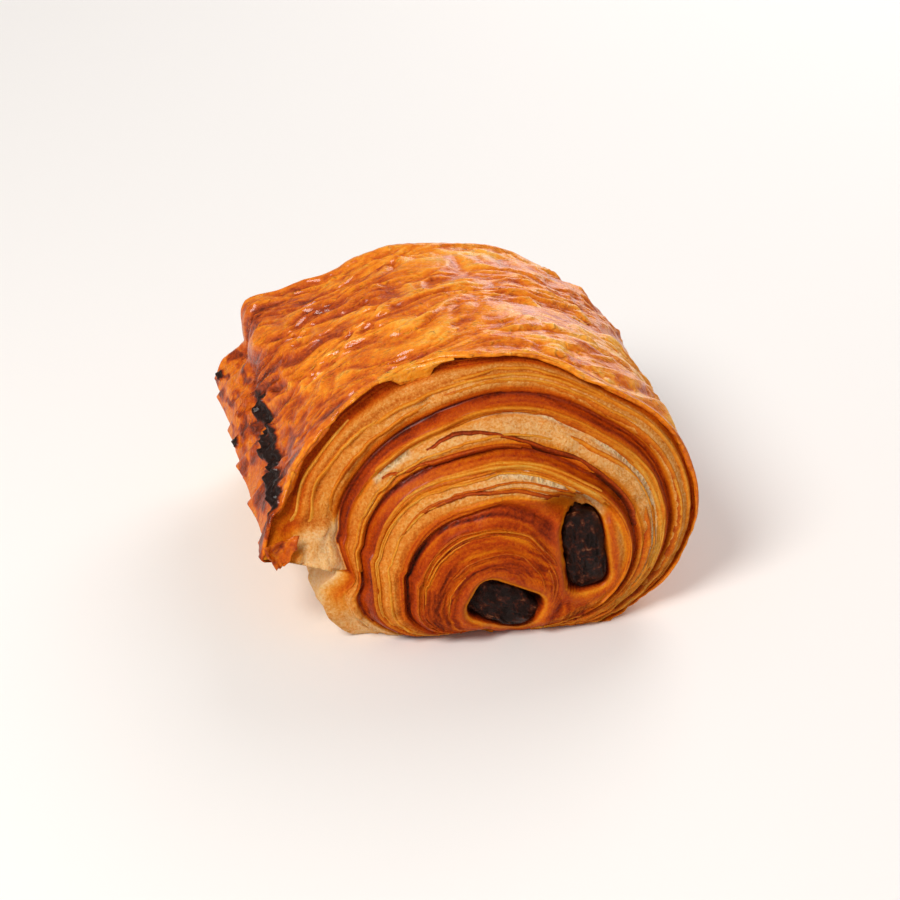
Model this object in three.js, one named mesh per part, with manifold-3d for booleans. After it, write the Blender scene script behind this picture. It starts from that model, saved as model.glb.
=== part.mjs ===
// A pain au chocolat: one strip of laminated dough rolled round two chocolate sticks, then glazed and baked.
// Seen from the end it is a spiral. The strip starts at a core low in the roll, winds outwards about five times,
// and ends in a lip that flares out along the left side. Both ends are domed, so each wrap stands a little
// proud of the one outside it: a dark skin, thin baked leaves, then pale crumb.
// Millimetres. +Z is up, the sticks run along Y, and the end at -Y is the front. The origin is on the surface
// that the pastry rests on, under the middle of its box.
import * as THREE from "three";
import { mergeVertices } from "three/addons/utils/BufferGeometryUtils.js";
import Module from "manifold-3d";

const wasm = await Module();
wasm.setup();

// The roll: its length along the sticks, and its reach from the core before the spiral draws it in,
// as direction in degrees and millimetres. Below the core it sags out flat on what it rests on.
const LENGTH = 84;
const CORE_HEIGHT = 7.7;
const REACH = [
  [-90, 12],
  [-55, 14.5],
  [-28, 21],
  [-12, 29],
  [2, 36.5],
  [20, 43.5],
  [38, 47],
  [60, 46.3],
  [85, 45.2],
  [110, 43.8],
  [135, 43.5],
  [152, 42],
  [168, 37.5],
  [184, 34],
  [198, 28],
  [218, 18.5],
  [240, 14],
];
// How much the section narrows towards each end: at the sides, and at its sagging crown in that direction.
const NARROWING = {
  front: { side: 0.02, crown: 0.03, towards: THREE.MathUtils.degToRad(100) },
  back: { side: 0.03, crown: 0.16, towards: THREE.MathUtils.degToRad(72) },
};

// The back end's squared shoulder above the lip: humps and hollows of the section there, as direction and half
// width in degrees and millimetres outwards. They fade out towards the front over the listed places along Y.
const SHOULDER = [
  { at: 138.5, half: 5.5, out: 2.8 },
  { at: 117, half: 9, out: -1.8 },
  { at: 149.5, half: 7, out: -1.6 },
];
const SHOULDER_FADE = [4, 28];

// The rolled strip: wraps from the lip inwards, and the share of the reach that each one takes.
const WRAPS = 4.1;
const WRAP_SHARE = 0.2;
// The inner wraps are pressed together on the left by this share of their radius.
const LEFT_SQUEEZE = 0.1;
const LIP_ANGLE = THREE.MathUtils.degToRad(167);
const LIP_FLARE = 3.2;
const LIP_TURNS = 0.05;
const LIP_TORN_TIP = 2.5;
const LIP_CURL = 4;
// Below the lip the unglazed dough swells out, by turns of the strip and millimetres.
const SWELL = { from: 0.8, full: 0.93, until: 0.975, out: 4.5 };
// The wraps inside it bulge in the same directions: by so many millimetres, over this stretch of each round,
// and from the first turn of the strip inwards, less and less until the last one.
const INNER_SWELL = { out: 4.8, falling: [0.95, 1.06], rising: [1, 1.5], gone: 5 };

// The domed ends: how far the rim of the outer wrap sits back from the core, as direction and millimetres.
const FRONT_SET_BACK = [
  [-90, 9],
  [-40, 6],
  [0, 5],
  [32, 8.5],
  [62, 14],
  [90, 17.5],
  [125, 20],
  [148, 17],
  [165, 11],
  [190, 11],
  [230, 12],
];
const BACK_SET_BACK = [
  [-90, 5],
  [0, 8],
  [90, 14],
  [180, 6],
];

// Relief of one wrap from its skin inwards, as share of its thickness and height in millimetres.
const WRAP_RELIEF = [
  [0, -1.5],
  [0.1, 0.4],
  [0.2, 1.3],
  [0.34, 0.5],
  [0.5, 0.4],
  [0.68, -0.5],
  [0.86, -1.1],
];
// The outermost wrap has a glazed rim that overhangs a shadowed gap instead.
const RIM_RELIEF = [1.4, -1.5, -0.9, -0.2, 0.3, -0.1, 0.6];

// Hoops: the glazed sheet cracks and slides into broad overlapping steps that run round the roll.
const HOOP_PITCH = 13;
const HOOP_RISE = 1.5;

// The chocolate sticks, by place of their middle from the core, turn about Y and section, which the rolling
// and the oven pressed a little differently.
const STICK = { corner: 2.6, length: 81, bevel: 1.2 };
const CLEARANCE = 0.3;
const STICKS = [
  { name: "chocolate_stick_core", x: 0, z: 0, tilt: -28, wide: 13.6, thick: 8.4 },
  { name: "chocolate_stick_outer", x: 15.2, z: 8.8, tilt: 97, wide: 15.6, thick: 7.8 },
];

// The wraps part round the outer stick: direction of the opening, half its width on each side of the stick,
// and how far each side moves.
const OPENING = {
  angle: THREE.MathUtils.degToRad(32),
  half: { out: THREE.MathUtils.degToRad(75), in: THREE.MathUtils.degToRad(42) },
  outwards: 4.4,
  inwards: 2.6,
};

// Facets: columns in each turn of the spiral, and rows along the outside.
const COLUMNS = 60;
const WALL_ROWS = 24;

const TURN = 2 * Math.PI;
const { abs, cos, sin, max, min, floor, round } = Math;

function smooth(low, high, x) {
  const t = min(1, max(0, (x - low) / (high - low)));
  return t * t * (3 - 2 * t);
}

function mix(a, b, t) {
  return a + (b - a) * t;
}

function angleAt(turns) {
  return LIP_ANGLE - TURN * turns;
}

// A smooth curve through values listed by direction, which closes on itself after a full turn.
function byDirection(list, angle) {
  const wanted = THREE.MathUtils.euclideanModulo(THREE.MathUtils.radToDeg(angle) + 90, 360) - 90;
  const count = list.length;
  let i = count - 1;
  while (list[i][0] > wanted) i--;
  const knot = (k) => [list[(k + count) % count][0] + 360 * floor(k / count), list[(k + count) % count][1]];
  const [before, from, to, after] = [knot(i - 1), knot(i), knot(i + 1), knot(i + 2)];
  const span = to[0] - from[0];
  const t = (wanted - from[0]) / span;
  const leaving = ((to[1] - before[1]) / (to[0] - before[0])) * span;
  const arriving = ((after[1] - from[1]) / (after[0] - from[0])) * span;
  const start = (1 + 2 * t) * (1 - t) ** 2 * from[1] + t * (1 - t) ** 2 * leaving;
  return start + t * t * (3 - 2 * t) * to[1] - t * t * (1 - t) * arriving;
}

// Distance from the core to the roll's envelope in one direction.
function envelope(angle) {
  return byDirection(REACH, angle);
}

// How far the outer wrap's rim sits back from the tip of the dome. side is -1 at the front and 1 at the back.
function rimSetBack(angle, side) {
  const wave = 0.8 * sin(5 * angle + 0.6) + 0.5 * sin(9 * angle + 2.1);
  return byDirection(side < 0 ? FRONT_SET_BACK : BACK_SET_BACK, angle) + wave;
}

// Steps of the glazed sheet, which drift as they go round and fade out under the roll.
function hoops(angle, y) {
  const drift = 0.5 * sin(angle + 0.4) + 0.22 * sin(3 * angle + 1.3);
  const place = y / HOOP_PITCH + drift + 40;
  const share = place - floor(place);
  const step = share ** 1.4 * (1 - smooth(0.8, 1, share));
  const swell = 0.6 * sin(y / 11 + 2 * angle) + 0.5 * sin(y / 7 - 3 * angle + 1);
  return (HOOP_RISE * step + swell) * smooth(-0.75, 0.1, sin(angle));
}

// Share of the envelope that is left at y, as the roll narrows and sags towards its ends.
function pinch(angle, y) {
  const by = y < 0 ? NARROWING.front : NARROWING.back;
  const amount = mix(by.side, by.crown, max(0, cos(angle - by.towards)) ** 2);
  return 1 - amount * abs((2 * y) / LENGTH) ** 2.2;
}

function shoulder(angle, y) {
  const direction = THREE.MathUtils.radToDeg(angle);
  let out = 0;
  for (const hump of SHOULDER) {
    const off = THREE.MathUtils.euclideanModulo(direction - hump.at + 180, 360) - 180;
    out += hump.out * Math.exp(-((off / hump.half) ** 2));
  }
  return out * smooth(...SHOULDER_FADE, y);
}

// Distance from the core to the outside before the spiral draws it in.
function bodyRadius(angle, y) {
  return envelope(angle) * pinch(angle, y) + hoops(angle, y) + shoulder(angle, y);
}

// How near the strip's free edge a place is: 1 on the edge and 0 beyond the lip.
function lipShare(turns) {
  return max(0, 1 - turns / LIP_TURNS) ** 1.4;
}

function swellBelow(turns) {
  return SWELL.out * smooth(SWELL.from, SWELL.full, turns) * (1 - smooth(SWELL.until, 1, turns));
}

// How far the wraps inside bulge below the lip, with the turns from the lip at their outer side and in all.
function swellWithin(outer, turns) {
  const round = outer - floor(outer);
  const place = round < 0.5 ? round + 1 : round;
  const shown = smooth(SWELL.from, SWELL.full, place) * (1 - smooth(...INNER_SWELL.falling, place));
  return INNER_SWELL.out * shown * smooth(...INNER_SWELL.rising, turns) * max(0, 1 - turns / INNER_SWELL.gone);
}

// The lip curls up towards the back.
function curl(turns, y) {
  return LIP_CURL * (0.5 + y / LENGTH) * lipShare(turns);
}

// The lip's flare, longest where the front corner is torn.
function flare(turns, y) {
  const edge = lipShare(turns);
  const ragged = 1 + 0.16 * sin(y / 5.1 + 1) + 0.1 * sin(y / 2.3);
  const torn = LIP_TORN_TIP * (1 - smooth(-LENGTH / 2 + 10, -LENGTH / 2 + 17, y));
  return (LIP_FLARE * ragged + torn) * edge;
}

// Radius of the outside, for turns from 0 at the lip to 1 below it.
function outsideRadius(turns, y) {
  const angle = angleAt(turns);
  const shrink = 1 - WRAP_SHARE * turns;
  return bodyRadius(angle, y) * shrink + swellBelow(turns) + flare(turns, y);
}

// Moves a ring apart where the outer stick lies between the third wrap and the fourth.
function parted(radius, turns, angle, edge) {
  const off = abs(Math.atan2(sin(angle - OPENING.angle), cos(angle - OPENING.angle)));
  const seamTurns = 3 + THREE.MathUtils.euclideanModulo((LIP_ANGLE - angle) / TURN, 1);
  const seam = (edge * (1 - WRAP_SHARE * seamTurns)) / (1 - WRAP_SHARE * (seamTurns - 3));
  const outside = turns < seamTurns - 1e-6;
  const half = outside ? OPENING.half.out : OPENING.half.in;
  const open = off < half ? cos((off / half) * (Math.PI / 2)) : 0;
  if (outside) return radius + OPENING.outwards * open * max(0, (edge - radius) / (edge - seam)) ** 0.45;
  return (radius * (seam - OPENING.inwards * open)) / seam;
}

function pointAt(angle, radius, y, lift) {
  return [radius * cos(angle), y, max(0, CORE_HEIGHT + radius * sin(angle) + lift)];
}

// A point of an end face. side is -1 at the front and 1 at the back, row counts inwards through one wrap.
function facePoint(side, column, row) {
  const rows = WRAP_RELIEF.length;
  const v = row < rows ? WRAP_RELIEF[row][0] : 1;
  const outer = column / COLUMNS;
  const turns = outer + v;
  const angle = angleAt(outer);
  const first = outer - floor(outer + 1e-9);
  const rimY = side * (LENGTH / 2 - rimSetBack(angle, side));
  const shrink = 1 - WRAP_SHARE * turns;
  const whole = bodyRadius(angle, rimY);
  const edge = whole * (1 - WRAP_SHARE * first);
  const squeeze = 1 - LEFT_SQUEEZE * max(0, -cos(angle)) * (1 - smooth(0.8, 1, shrink));
  let radius = parted(whole * shrink * squeeze, turns, angle, edge);
  const free = (1 - v) ** 1.5;
  radius += (flare(outer, rimY) + swellBelow(outer)) * free + swellWithin(outer, turns);
  const dome = rimSetBack(angle, side) * smooth(0.2, 1.02, shrink) ** 1.15;
  const groove = WRAP_RELIEF[0][1];
  const wrapRelief = row < rows ? WRAP_RELIEF[row][1] : groove;
  const rimRelief = row < rows ? RIM_RELIEF[row] : groove;
  const underLip = smooth(0.88, 1, outer);
  const relief = outer < 1 ? mix(rimRelief, wrapRelief, underLip) : wrapRelief;
  const thickness = min(1, (envelope(angle) * WRAP_SHARE) / 6.5);
  const uneven = 1 + 0.3 * sin(3 * angle + 2.2 * floor(turns)) + 0.2 * sin(7 * angle + turns);
  const y = side * (LENGTH / 2 - dome + relief * thickness * uneven);
  return pointAt(angle, radius, y, curl(outer, rimY) * free);
}

// The roll as one closed mesh: two spiral faces, the outside, and the underside of the lip.
function rollGeometry() {
  const points = [];
  const faces = [];
  const rows = WRAP_RELIEF.length;
  const last = round(WRAPS * COLUMNS);
  const add = (p) => points.push(...p) / 3 - 1;
  const quad = (a, b, c, d) => faces.push(a, b, c, a, c, d);

  const grid = {};
  for (const side of [-1, 1]) {
    const cell = [];
    for (let column = last; column >= 0; column--) {
      cell[column] = [];
      for (let row = 0; row <= rows; row++) {
        const shared = row === rows && column + COLUMNS <= last;
        cell[column][row] = shared ? cell[column + COLUMNS][0] : add(facePoint(side, column, row));
      }
    }
    for (let column = 0; column < last; column++) {
      for (let row = 0; row < rows; row++) {
        const [near, far] = [cell[column], cell[column + 1]];
        const corners = [near[row], near[row + 1], far[row + 1], far[row]];
        quad(...(side < 0 ? corners : corners.reverse()));
      }
    }
    // The last wrap closes on the core with a fan.
    const loop = [];
    for (let column = last - COLUMNS + 1; column <= last; column++) loop.push(cell[column][rows]);
    for (let row = rows - 1; row >= 0; row--) loop.push(cell[last][row]);
    const middle = add([0, side * (LENGTH / 2 - 1), CORE_HEIGHT]);
    loop.forEach((a, i) => {
      const b = loop[(i + 1) % loop.length];
      faces.push(...(side < 0 ? [a, middle, b] : [b, middle, a]));
    });
    grid[side] = cell;
  }

  // The outside, from the front rim to the back one.
  const wall = [];
  for (let column = 0; column <= COLUMNS; column++) {
    const front = grid[-1][column][0];
    const back = grid[1][column][0];
    const turns = column / COLUMNS;
    wall[column] = [];
    for (let k = 0; k <= WALL_ROWS; k++) {
      const y = mix(points[3 * front + 1], points[3 * back + 1], k / WALL_ROWS);
      const between = k > 0 && k < WALL_ROWS;
      const made = between ? add(pointAt(angleAt(turns), outsideRadius(turns, y), y, curl(turns, y))) : null;
      wall[column][k] = between ? made : k === 0 ? front : back;
    }
  }
  for (let column = 0; column < COLUMNS; column++) {
    for (let k = 0; k < WALL_ROWS; k++) {
      quad(wall[column][k], wall[column + 1][k], wall[column + 1][k + 1], wall[column][k + 1]);
    }
  }

  // The underside of the lip, from its free edge in to the wrap below.
  const under = [];
  for (let row = 0; row <= rows; row++) {
    under[row] = [];
    for (let k = 0; k <= WALL_ROWS; k++) {
      const onEnd = k === 0 ? grid[-1][0][row] : k === WALL_ROWS ? grid[1][0][row] : null;
      const onWall = row === 0 ? wall[0][k] : row === rows ? wall[COLUMNS][k] : null;
      if (onEnd !== null || onWall !== null) {
        under[row][k] = onWall !== null ? onWall : onEnd;
        continue;
      }
      const edge = points.slice(3 * wall[0][k], 3 * wall[0][k] + 3);
      const root = points.slice(3 * wall[COLUMNS][k], 3 * wall[COLUMNS][k] + 3);
      const share = WRAP_RELIEF[row][0];
      under[row][k] = add(edge.map((e, i) => mix(e, root[i], share)));
    }
  }
  for (let row = 0; row < rows; row++) {
    for (let k = 0; k < WALL_ROWS; k++) {
      quad(under[row][k], under[row][k + 1], under[row + 1][k + 1], under[row + 1][k]);
    }
  }

  const geometry = new THREE.BufferGeometry();
  geometry.setAttribute("position", new THREE.Float32BufferAttribute(points, 3));
  geometry.setIndex(faces);
  return geometry;
}

// A stick's rounded section, grown by a clearance where it is the channel in the dough.
function stickSection(stick, grown) {
  const halfWide = stick.wide / 2 + grown;
  const halfThick = stick.thick / 2 + grown;
  const corner = STICK.corner + grown;
  const section = new THREE.Shape();
  section.moveTo(-halfWide + corner, -halfThick);
  section.absarc(halfWide - corner, -halfThick + corner, corner, -Math.PI / 2, 0);
  section.absarc(halfWide - corner, halfThick - corner, corner, 0, Math.PI / 2);
  section.absarc(-halfWide + corner, halfThick - corner, corner, Math.PI / 2, Math.PI);
  section.absarc(-halfWide + corner, -halfThick + corner, corner, Math.PI, 1.5 * Math.PI);
  section.closePath();
  return section;
}

// Lays an extrusion made along Z down along Y, turned to the stick's tilt, in its place in the roll.
function layAlong(geometry, stick, length) {
  geometry.translate(0, 0, -length / 2);
  geometry.rotateX(Math.PI / 2);
  geometry.rotateY(-THREE.MathUtils.degToRad(stick.tilt));
  geometry.translate(stick.x, 0, CORE_HEIGHT + stick.z);
  return geometry;
}

function stickGeometry(stick) {
  const section = stickSection(stick, -STICK.bevel);
  const depth = STICK.length - 2 * STICK.bevel;
  const rod = new THREE.ExtrudeGeometry(section, {
    depth,
    curveSegments: 5,
    bevelThickness: STICK.bevel,
    bevelSize: STICK.bevel,
    bevelSegments: 3,
  });
  return layAlong(rod, stick, depth);
}

function channelGeometry(stick) {
  const depth = 1.5 * LENGTH;
  const section = stickSection(stick, CLEARANCE);
  const rod = new THREE.ExtrudeGeometry(section, { depth, curveSegments: 5, bevelEnabled: false });
  return layAlong(rod, stick, depth);
}

function solidOf(geometry) {
  const bare = geometry.clone();
  bare.deleteAttribute("normal");
  bare.deleteAttribute("uv");
  const merged = mergeVertices(bare, 1e-4);
  return new wasm.Manifold(
    new wasm.Mesh({
      numProp: 3,
      vertProperties: new Float32Array(merged.attributes.position.array),
      triVerts: new Uint32Array(merged.index.array),
    }),
  );
}

function geometryOf(solid) {
  const made = solid.getMesh();
  const geometry = new THREE.BufferGeometry();
  geometry.setAttribute("position", new THREE.BufferAttribute(new Float32Array(made.vertProperties), 3));
  geometry.setIndex(new THREE.BufferAttribute(new Uint32Array(made.triVerts), 1));
  geometry.computeVertexNormals();
  return geometry;
}

const pastryFinish = new THREE.MeshStandardMaterial({ color: 0xc8741e, roughness: 0.45, metalness: 0 });
const chocolateFinish = new THREE.MeshStandardMaterial({ color: 0x2a1712, roughness: 0.5, metalness: 0 });

// The dough, with a channel right through for each stick.
let dough = solidOf(rollGeometry());
for (const stick of STICKS) dough = dough.subtract(solidOf(channelGeometry(stick)));
const pastryGeometry = geometryOf(dough);
pastryGeometry.computeBoundingBox();
const middle = pastryGeometry.boundingBox.getCenter(new THREE.Vector3());

const pastry = new THREE.Mesh(pastryGeometry, pastryFinish);
pastry.name = "pastry";

const painAuChocolat = new THREE.Group();
painAuChocolat.add(pastry);
for (const stick of STICKS) {
  const rod = new THREE.Mesh(stickGeometry(stick), chocolateFinish);
  rod.name = stick.name;
  painAuChocolat.add(rod);
}
painAuChocolat.position.set(-middle.x, -middle.y, 0);

export default painAuChocolat;
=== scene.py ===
import math

import bpy
import numpy as np
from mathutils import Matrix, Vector


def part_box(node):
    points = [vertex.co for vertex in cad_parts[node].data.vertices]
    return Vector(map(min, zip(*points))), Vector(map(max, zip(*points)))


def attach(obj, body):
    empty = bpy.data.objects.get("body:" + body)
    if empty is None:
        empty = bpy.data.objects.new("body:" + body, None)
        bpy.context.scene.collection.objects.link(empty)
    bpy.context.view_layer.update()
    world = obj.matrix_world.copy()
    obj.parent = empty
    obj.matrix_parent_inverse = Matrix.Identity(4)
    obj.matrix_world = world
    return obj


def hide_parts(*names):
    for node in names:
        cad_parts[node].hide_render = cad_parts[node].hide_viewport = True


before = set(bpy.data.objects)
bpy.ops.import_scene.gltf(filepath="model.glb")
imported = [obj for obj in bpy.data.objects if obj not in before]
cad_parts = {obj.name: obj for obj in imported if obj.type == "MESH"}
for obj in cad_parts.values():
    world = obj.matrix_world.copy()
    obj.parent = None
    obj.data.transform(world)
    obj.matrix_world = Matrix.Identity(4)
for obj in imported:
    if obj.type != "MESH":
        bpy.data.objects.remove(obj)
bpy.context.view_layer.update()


# The rolled dough. One strip of laminated dough is rolled up from a core low in the roll and baked, so each
# end is a domed spiral: every wrap shows its dark skin, then thin baked leaves, then pale open crumb.
# Sizes are in millimetres from the core of the roll, and directions are seen from the front end.
MM = 0.001
TURN = 2 * math.pi
ROLL_LENGTH = 84.0
CORE_HEIGHT = 7.7
REACH = [
    (-90, 12), (-55, 14.5), (-28, 21), (-12, 29), (2, 36.5), (20, 43.5), (38, 47), (60, 46.3), (85, 45.2),
    (110, 43.8), (135, 43.5), (152, 42), (168, 37.5), (184, 34), (198, 28), (218, 18.5), (240, 14),
]
FRONT_SET_BACK = [
    (-90, 9), (-40, 6), (0, 5), (32, 8.5), (62, 14), (90, 17.5), (125, 20), (148, 17), (165, 11), (190, 11),
    (230, 12),
]
BACK_SET_BACK = [(-90, 5), (0, 8), (90, 14), (180, 6)]
DOME_RISE = (0.2, 1.02)
DOME_POWER = 1.15
NARROWING_FRONT = (0.02, 0.03, math.radians(100))
NARROWING_BACK = (0.03, 0.16, math.radians(72))
SHOULDER = [(138.5, 5.5, 2.8), (117, 9, -1.8), (149.5, 7, -1.6)]
SHOULDER_FADE = (4, 28)
WRAP_SHARE = 0.2
LEFT_SQUEEZE = 0.1
WRAPS = 4.6
LIP_ANGLE = math.radians(167)
LIP_FLARE = 3.2
LIP_TURNS = 0.05
LIP_TORN_TIP = 2.5
LIP_TORN_UNTIL = (-32, -25)
LIP_BULGE = (-11, 15, 2.2)
LIP_CURL = 4.0
SWELL_FROM = 0.8
SWELL_FULL = 0.93
SWELL_UNTIL_FRONT = 0.994
SWELL_UNTIL_BACK = 0.95
SWELL_CHANGES = (-37, -26)
TUCK_UNDER = 1.3
SWELL_OUT = 4.5
INNER_SWELL = 4.8
INNER_SWELL_GONE = 5.0
INNER_SWELL_FADES = (0.95, 1.06)
HOOP_PITCH = 13.0
HOOP_RISE = 1.5
HOOP_STEEPENS = 1.4
HOOP_DROPS = 0.8
OPENING_ANGLE = math.radians(32)
OPENING_HALF_OUT = math.radians(75)
OPENING_HALF_IN = math.radians(42)
OPENING_OUTWARDS = 4.4
OPENING_INWARDS = 2.6
OPENING_FAN = 0.3
STICK_PLACES = {
    "chocolate_stick_core": (0.0, 0.0, math.radians(-28)),
    "chocolate_stick_outer": (15.2, 8.8, math.radians(97)),
}
STICK_SECTIONS = {"chocolate_stick_core": (13.6, 8.4), "chocolate_stick_outer": (15.6, 7.8)}
STICK_CORNER = 2.6
STICK_LENGTH = 81.0

core_low, core_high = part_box("chocolate_stick_core")
CORE_X = (core_low.x + core_high.x) / 2
CORE_Y = (core_low.y + core_high.y) / 2


def smooth(low, high, x):
    t = np.clip((x - low) / (high - low), 0, 1)
    return t * t * (3 - 2 * t)


def mix(a, b, t):
    return a + (b - a) * t


def bell(off, half):
    """1 where off is 0, falling away over the half width on either side."""
    return np.exp(-((off / half) ** 2))


def band(rise, fall, x):
    """1 from the end of the rise to the start of the fall, and 0 beyond both."""
    return smooth(*rise, x) * (1 - smooth(*fall, x))


GRAIN_TABLES = {}


def grain(x, y, seed):
    """Smooth random values from -1 to 1, one for each unit of x and y."""
    if seed not in GRAIN_TABLES:
        GRAIN_TABLES[seed] = np.random.default_rng(seed).uniform(-1, 1, (256, 256))
    table = GRAIN_TABLES[seed]
    x, y = np.broadcast_arrays(np.asarray(x, float), np.asarray(y, float))
    i = np.floor(x).astype(int)
    j = np.floor(y).astype(int)
    s = x - i
    t = y - j
    s = s * s * (3 - 2 * s)
    t = t * t * (3 - 2 * t)
    near = mix(table[i % 256, j % 256], table[(i + 1) % 256, j % 256], s)
    far = mix(table[i % 256, (j + 1) % 256], table[(i + 1) % 256, (j + 1) % 256], s)
    return mix(near, far, t)


def by_direction(listed, angle):
    """A smooth curve through values listed by direction, which closes on itself after a full turn."""
    at = np.array([place for place, _ in listed], float)
    value = np.array([amount for _, amount in listed], float)
    at = np.concatenate([at[-2:] - 360, at, at[:3] + 360])
    value = np.concatenate([value[-2:], value, value[:3]])
    wanted = (np.degrees(angle) + 90) % 360 - 90
    i = np.searchsorted(at, wanted, side="right") - 1
    span = at[i + 1] - at[i]
    t = (wanted - at[i]) / span
    leaving = (value[i + 1] - value[i - 1]) / (at[i + 1] - at[i - 1]) * span
    arriving = (value[i + 2] - value[i]) / (at[i + 2] - at[i]) * span
    start = (1 + 2 * t) * (1 - t) ** 2 * value[i] + t * (1 - t) ** 2 * leaving
    return start + t * t * (3 - 2 * t) * value[i + 1] - t * t * (1 - t) * arriving


def rim_set_back(angle, side):
    wave = 0.8 * np.sin(5 * angle + 0.6) + 0.5 * np.sin(9 * angle + 2.1)
    return by_direction(FRONT_SET_BACK if side < 0 else BACK_SET_BACK, angle) + wave


def dome_back(angle, side, shrink):
    """How far an end face lies behind the tip of the roll, where the spiral has shrunk to this share."""
    return rim_set_back(angle, side) * smooth(*DOME_RISE, shrink) ** DOME_POWER


def hoop_drift(angle):
    """How far the hoops run slantwise over the roll, in hoops."""
    return 0.5 * np.sin(angle + 0.4) + 0.22 * np.sin(3 * angle + 1.3)


def hoops(angle, y):
    place = y / HOOP_PITCH + hoop_drift(angle) + 40
    share = place - np.floor(place)
    step = share ** HOOP_STEEPENS * (1 - smooth(HOOP_DROPS, 1, share))
    swell = 0.6 * np.sin(y / 11 + 2 * angle) + 0.5 * np.sin(y / 7 - 3 * angle + 1)
    return (HOOP_RISE * step + swell) * smooth(-0.75, 0.1, np.sin(angle))


def pinch(angle, y):
    at_ends = []
    for at_sides, at_crown, towards in (NARROWING_FRONT, NARROWING_BACK):
        at_ends.append(mix(at_sides, at_crown, np.maximum(0, np.cos(angle - towards)) ** 2))
    front, back = at_ends
    return 1 - np.where(y < 0, front, back) * np.abs(2 * y / ROLL_LENGTH) ** 2.2


def shoulder(angle, y):
    """The squared shoulder above the lip at the back end, which fades out towards the front."""
    out = 0.0
    for at, half, amount in SHOULDER:
        off = (np.degrees(angle) - at + 180) % 360 - 180
        out = out + amount * bell(off, half)
    return out * smooth(*SHOULDER_FADE, y)


def body_radius(angle, y):
    """Distance from the core to the outside before the spiral draws it in."""
    return by_direction(REACH, angle) * pinch(angle, y) + hoops(angle, y) + shoulder(angle, y)


def lip_share(turns):
    return np.maximum(0, 1 - turns / LIP_TURNS) ** 1.4


def flare(turns, y):
    ragged = 1 + 0.16 * np.sin(y / 5.1 + 1) + 0.05 * np.sin(y / 2.3)
    torn = LIP_TORN_TIP * (1 - smooth(*LIP_TORN_UNTIL, y))
    middle, half, out = LIP_BULGE
    bulge = out * bell(y - middle, half)
    return (LIP_FLARE * ragged + torn + bulge) * lip_share(turns)


def curl(turns, y):
    return LIP_CURL * (0.5 + y / ROLL_LENGTH) * lip_share(turns)


def swell_below(turns, y):
    behind = smooth(*SWELL_CHANGES, y)
    until = mix(SWELL_UNTIL_FRONT, SWELL_UNTIL_BACK, behind) + 0.006 * np.sin(y / 4.3) * behind
    return SWELL_OUT * smooth(SWELL_FROM, SWELL_FULL, turns) * (1 - smooth(until, 1, turns))


def swell_within(outer, turns):
    """How far the wraps inside bulge in the same directions, which smooths the spiral below the lip."""
    place = outer - np.floor(outer)
    place = np.where(place < 0.5, place + 1, place)
    shown = band((SWELL_FROM, SWELL_FULL), INNER_SWELL_FADES, place)
    return INNER_SWELL * shown * smooth(1, 1.5, turns) * np.maximum(0, 1 - turns / INNER_SWELL_GONE)


def outside_radius(turns, y):
    """Radius of the outside, for turns from 0 at the lip to 1 below it."""
    angle = LIP_ANGLE - TURN * turns
    return body_radius(angle, y) * (1 - WRAP_SHARE * turns) + swell_below(turns, y) + flare(turns, y)


def parted(radius, turns, angle, edge):
    """Moves a ring apart where the outer stick lies between the third wrap and the fourth."""
    off = np.abs(np.arctan2(np.sin(angle - OPENING_ANGLE), np.cos(angle - OPENING_ANGLE)))
    seam_turns = 3 + ((LIP_ANGLE - angle) / TURN) % 1
    seam = edge * (1 - WRAP_SHARE * seam_turns) / (1 - WRAP_SHARE * (seam_turns - 3))
    open_out = np.cos(np.clip(off / OPENING_HALF_OUT, 0, 1) * math.pi / 2)
    open_in = np.cos(np.clip(off / OPENING_HALF_IN, 0, 1) * math.pi / 2)
    lifted = radius + OPENING_OUTWARDS * open_out * np.clip((edge - radius) / (edge - seam), 0, None) ** 0.45
    pressed = radius * (seam - OPENING_INWARDS * open_in) / seam
    return mix(lifted, pressed, np.clip((turns - seam_turns) / OPENING_FAN + 1, 0, 1))


def stick_distance(x, z, name):
    """Distance from a stick's rounded section, below zero inside it, and the place along its wide side."""
    at_x, at_z, tilt = STICK_PLACES[name]
    dx = x - at_x
    dz = z - at_z
    wide = dx * math.cos(tilt) + dz * math.sin(tilt)
    thick = -dx * math.sin(tilt) + dz * math.cos(tilt)
    over_wide = np.abs(wide) - STICK_SECTIONS[name][0] / 2 + STICK_CORNER
    over_thick = np.abs(thick) - STICK_SECTIONS[name][1] / 2 + STICK_CORNER
    outside = np.hypot(np.maximum(over_wide, 0), np.maximum(over_thick, 0))
    return outside + np.minimum(np.maximum(over_wide, over_thick), 0) - STICK_CORNER


# Where each skin starts, as a share of a wrap from its seam: the wraps sagged unevenly as they baked.
SKIN_START = [
    (0.95, 0.0), (1.03, -0.1), (1.14, -0.1), (1.2, -0.18), (1.24, -0.1), (1.29, -0.2), (1.34, -0.12),
    (1.4, -0.02), (1.6, 0.0), (1.85, -0.2), (2.0, -0.48), (2.08, -0.52), (2.14, -0.38), (2.18, -0.33),
    (2.23, -0.18), (2.31, -0.07), (2.37, 0.03), (2.43, -0.05), (2.5, -0.2), (2.75, -0.35), (3.06, -0.46),
    (3.13, -0.45), (3.19, -0.32), (3.26, -0.12), (3.5, -0.1), (4.0, -0.25), (4.2, -0.15), (5.6, 0.0),
]
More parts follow.
